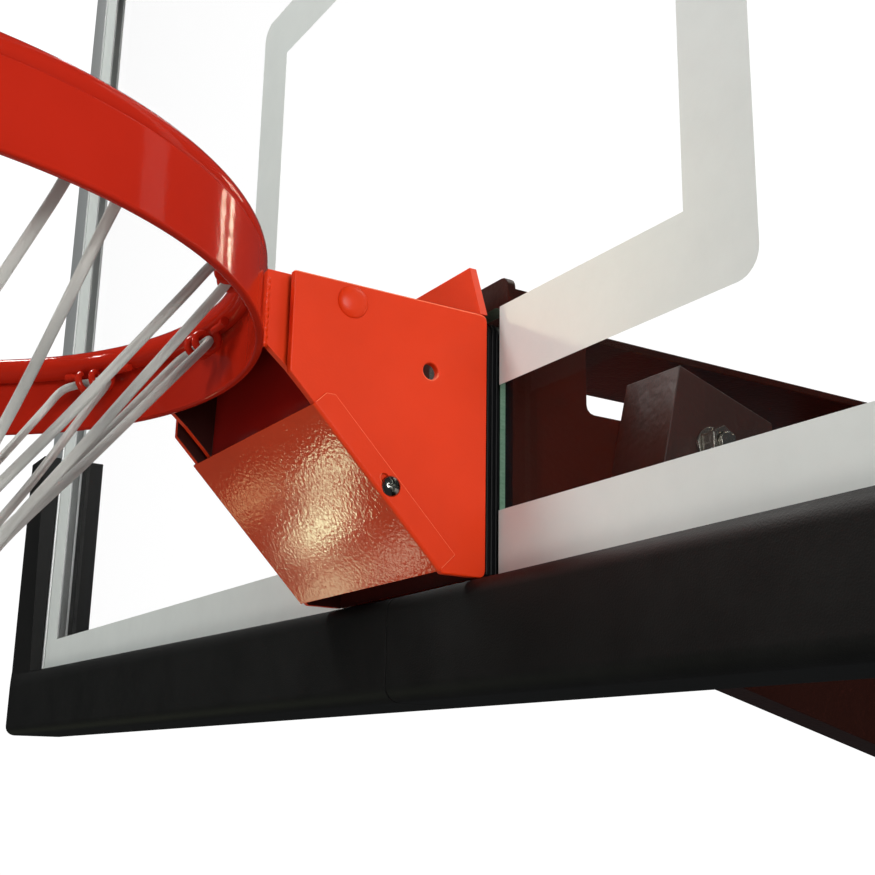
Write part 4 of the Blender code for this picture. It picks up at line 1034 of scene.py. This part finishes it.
# Lamps: place and aim from the ring's level on the glass. One with a cone is a spot, one that is tall is a
# strip. Without diffuse it only gives highlights, without glossy it gives none
aimSpot = (0.05, -0.08, -0.08)
lamps = {
    "right": {"place": (3.3, -0.6, 0.45), "size": 1.6, "power": 66, "colour": (1.0, 1.0, 1.0)},
    "front": {"place": (-1.0, -2.4, 2.6), "size": 1.2, "power": 66, "colour": (0.95, 1.0, 1.0),
              "glossy": False},
    "warm": {"place": (-0.75, -1.15, 0.42), "size": 0.10, "power": 26, "colour": (1.0, 0.93, 0.66),
             "cone": 11, "aim": (0.12, 0.0, 0.01), "glossy": False},
    "padRoll": {"place": (-0.8, -0.46, 1.39), "size": 0.5, "power": 14, "colour": (1.0, 0.98, 0.95),
                "diffuse": False},
    "rear": {"place": (-0.3, 2.0, 2.4), "size": 1.0, "power": 12, "colour": (0.95, 0.98, 1.0)},
    "rodEdge": {"place": (0.50, 1.65, 2.20), "size": 0.7, "tall": 0.12, "power": 6,
                "colour": (1.0, 0.9, 0.68), "diffuse": False},
    "bandLeft": {"place": (-0.43, 1.98, 0.96), "size": 0.03, "tall": 0.45, "power": 0.9,
                 "colour": (1.0, 0.9, 0.68), "diffuse": False, "through": True},
    "bandRight": {"place": (-0.62, 1.94, 0.96), "size": 0.03, "tall": 0.45, "power": 0.9,
                  "colour": (1.0, 0.9, 0.68), "diffuse": False, "through": True},
    "boxFace": {"place": (-0.345, -1.016, 0.644), "size": 0.30, "power": 110, "colour": (1.0, 0.97, 0.90),
                "cone": 10, "aim": (0.117, 0.104, -0.056), "diffuse": False},
    "lowFill": {"place": (1.0, -1.8, -1.4), "size": 1.0, "power": 8, "colour": (1.0, 0.98, 0.94),
                "glossy": False},
    "coverTop": {"place": (-2.19, -0.73, -1.25), "size": 0.11, "power": 0.22, "colour": (0.85, 1.0, 0.60)},
    "coverMiddle": {"place": (-2.27, -0.59, -1.27), "size": 0.11, "power": 0.30, "colour": (0.85, 1.0, 0.60)},
    "coverToe": {"place": (-2.33, -0.43, -1.34), "size": 0.14, "power": 0.16, "colour": (0.90, 1.0, 0.60)},
    "coverLow": {"place": (-2.14, -0.51, -1.45), "size": 0.12, "power": 0.08, "colour": (1.0, 1.0, 0.7)},
    "coverSide": {"place": (-2.38, -0.66, -1.11), "size": 0.10, "power": 0.06, "colour": (1.0, 0.75, 0.35)},
    "coverFill": {"place": (-1.2, -1.6, -1.6), "size": 0.8, "power": 3, "colour": (1.0, 0.95, 0.9),
                  "glossy": False},
}


def buildLamps():
    for name, lamp in lamps.items():
        nothingPicked()
        kind = "SPOT" if "cone" in lamp else "AREA"
        bpy.ops.object.light_add(type=kind, location=Vector(lamp["place"]) + toFrame)
        light = bpy.context.object
        light.name = name
        light.data.energy = lamp["power"]
        light.data.color = lamp["colour"]
        if kind == "SPOT":
            light.data.spot_size = math.radians(lamp["cone"])
            light.data.spot_blend = 1.0
            light.data.shadow_soft_size = lamp["size"] / 2
        else:
            light.data.shape = "RECTANGLE" if "tall" in lamp else "DISK"
            light.data.size = lamp["size"]
            light.data.size_y = lamp.get("tall", lamp["size"])
        aimAt = Vector(lamp.get("aim", aimSpot)) - Vector(lamp["place"])
        light.rotation_euler = aimAt.to_track_quat("-Z", "Y").to_euler()
        light.visible_camera = False
        light.visible_transmission = lamp.get("through", False)
        light.visible_glossy = lamp.get("glossy", True)
        light.visible_diffuse = lamp.get("diffuse", True)


buildFloor()
buildWorld()
buildLamps()
bpy.context.scene.view_settings.view_transform = "Standard"
print("stage set")

nothingPicked()
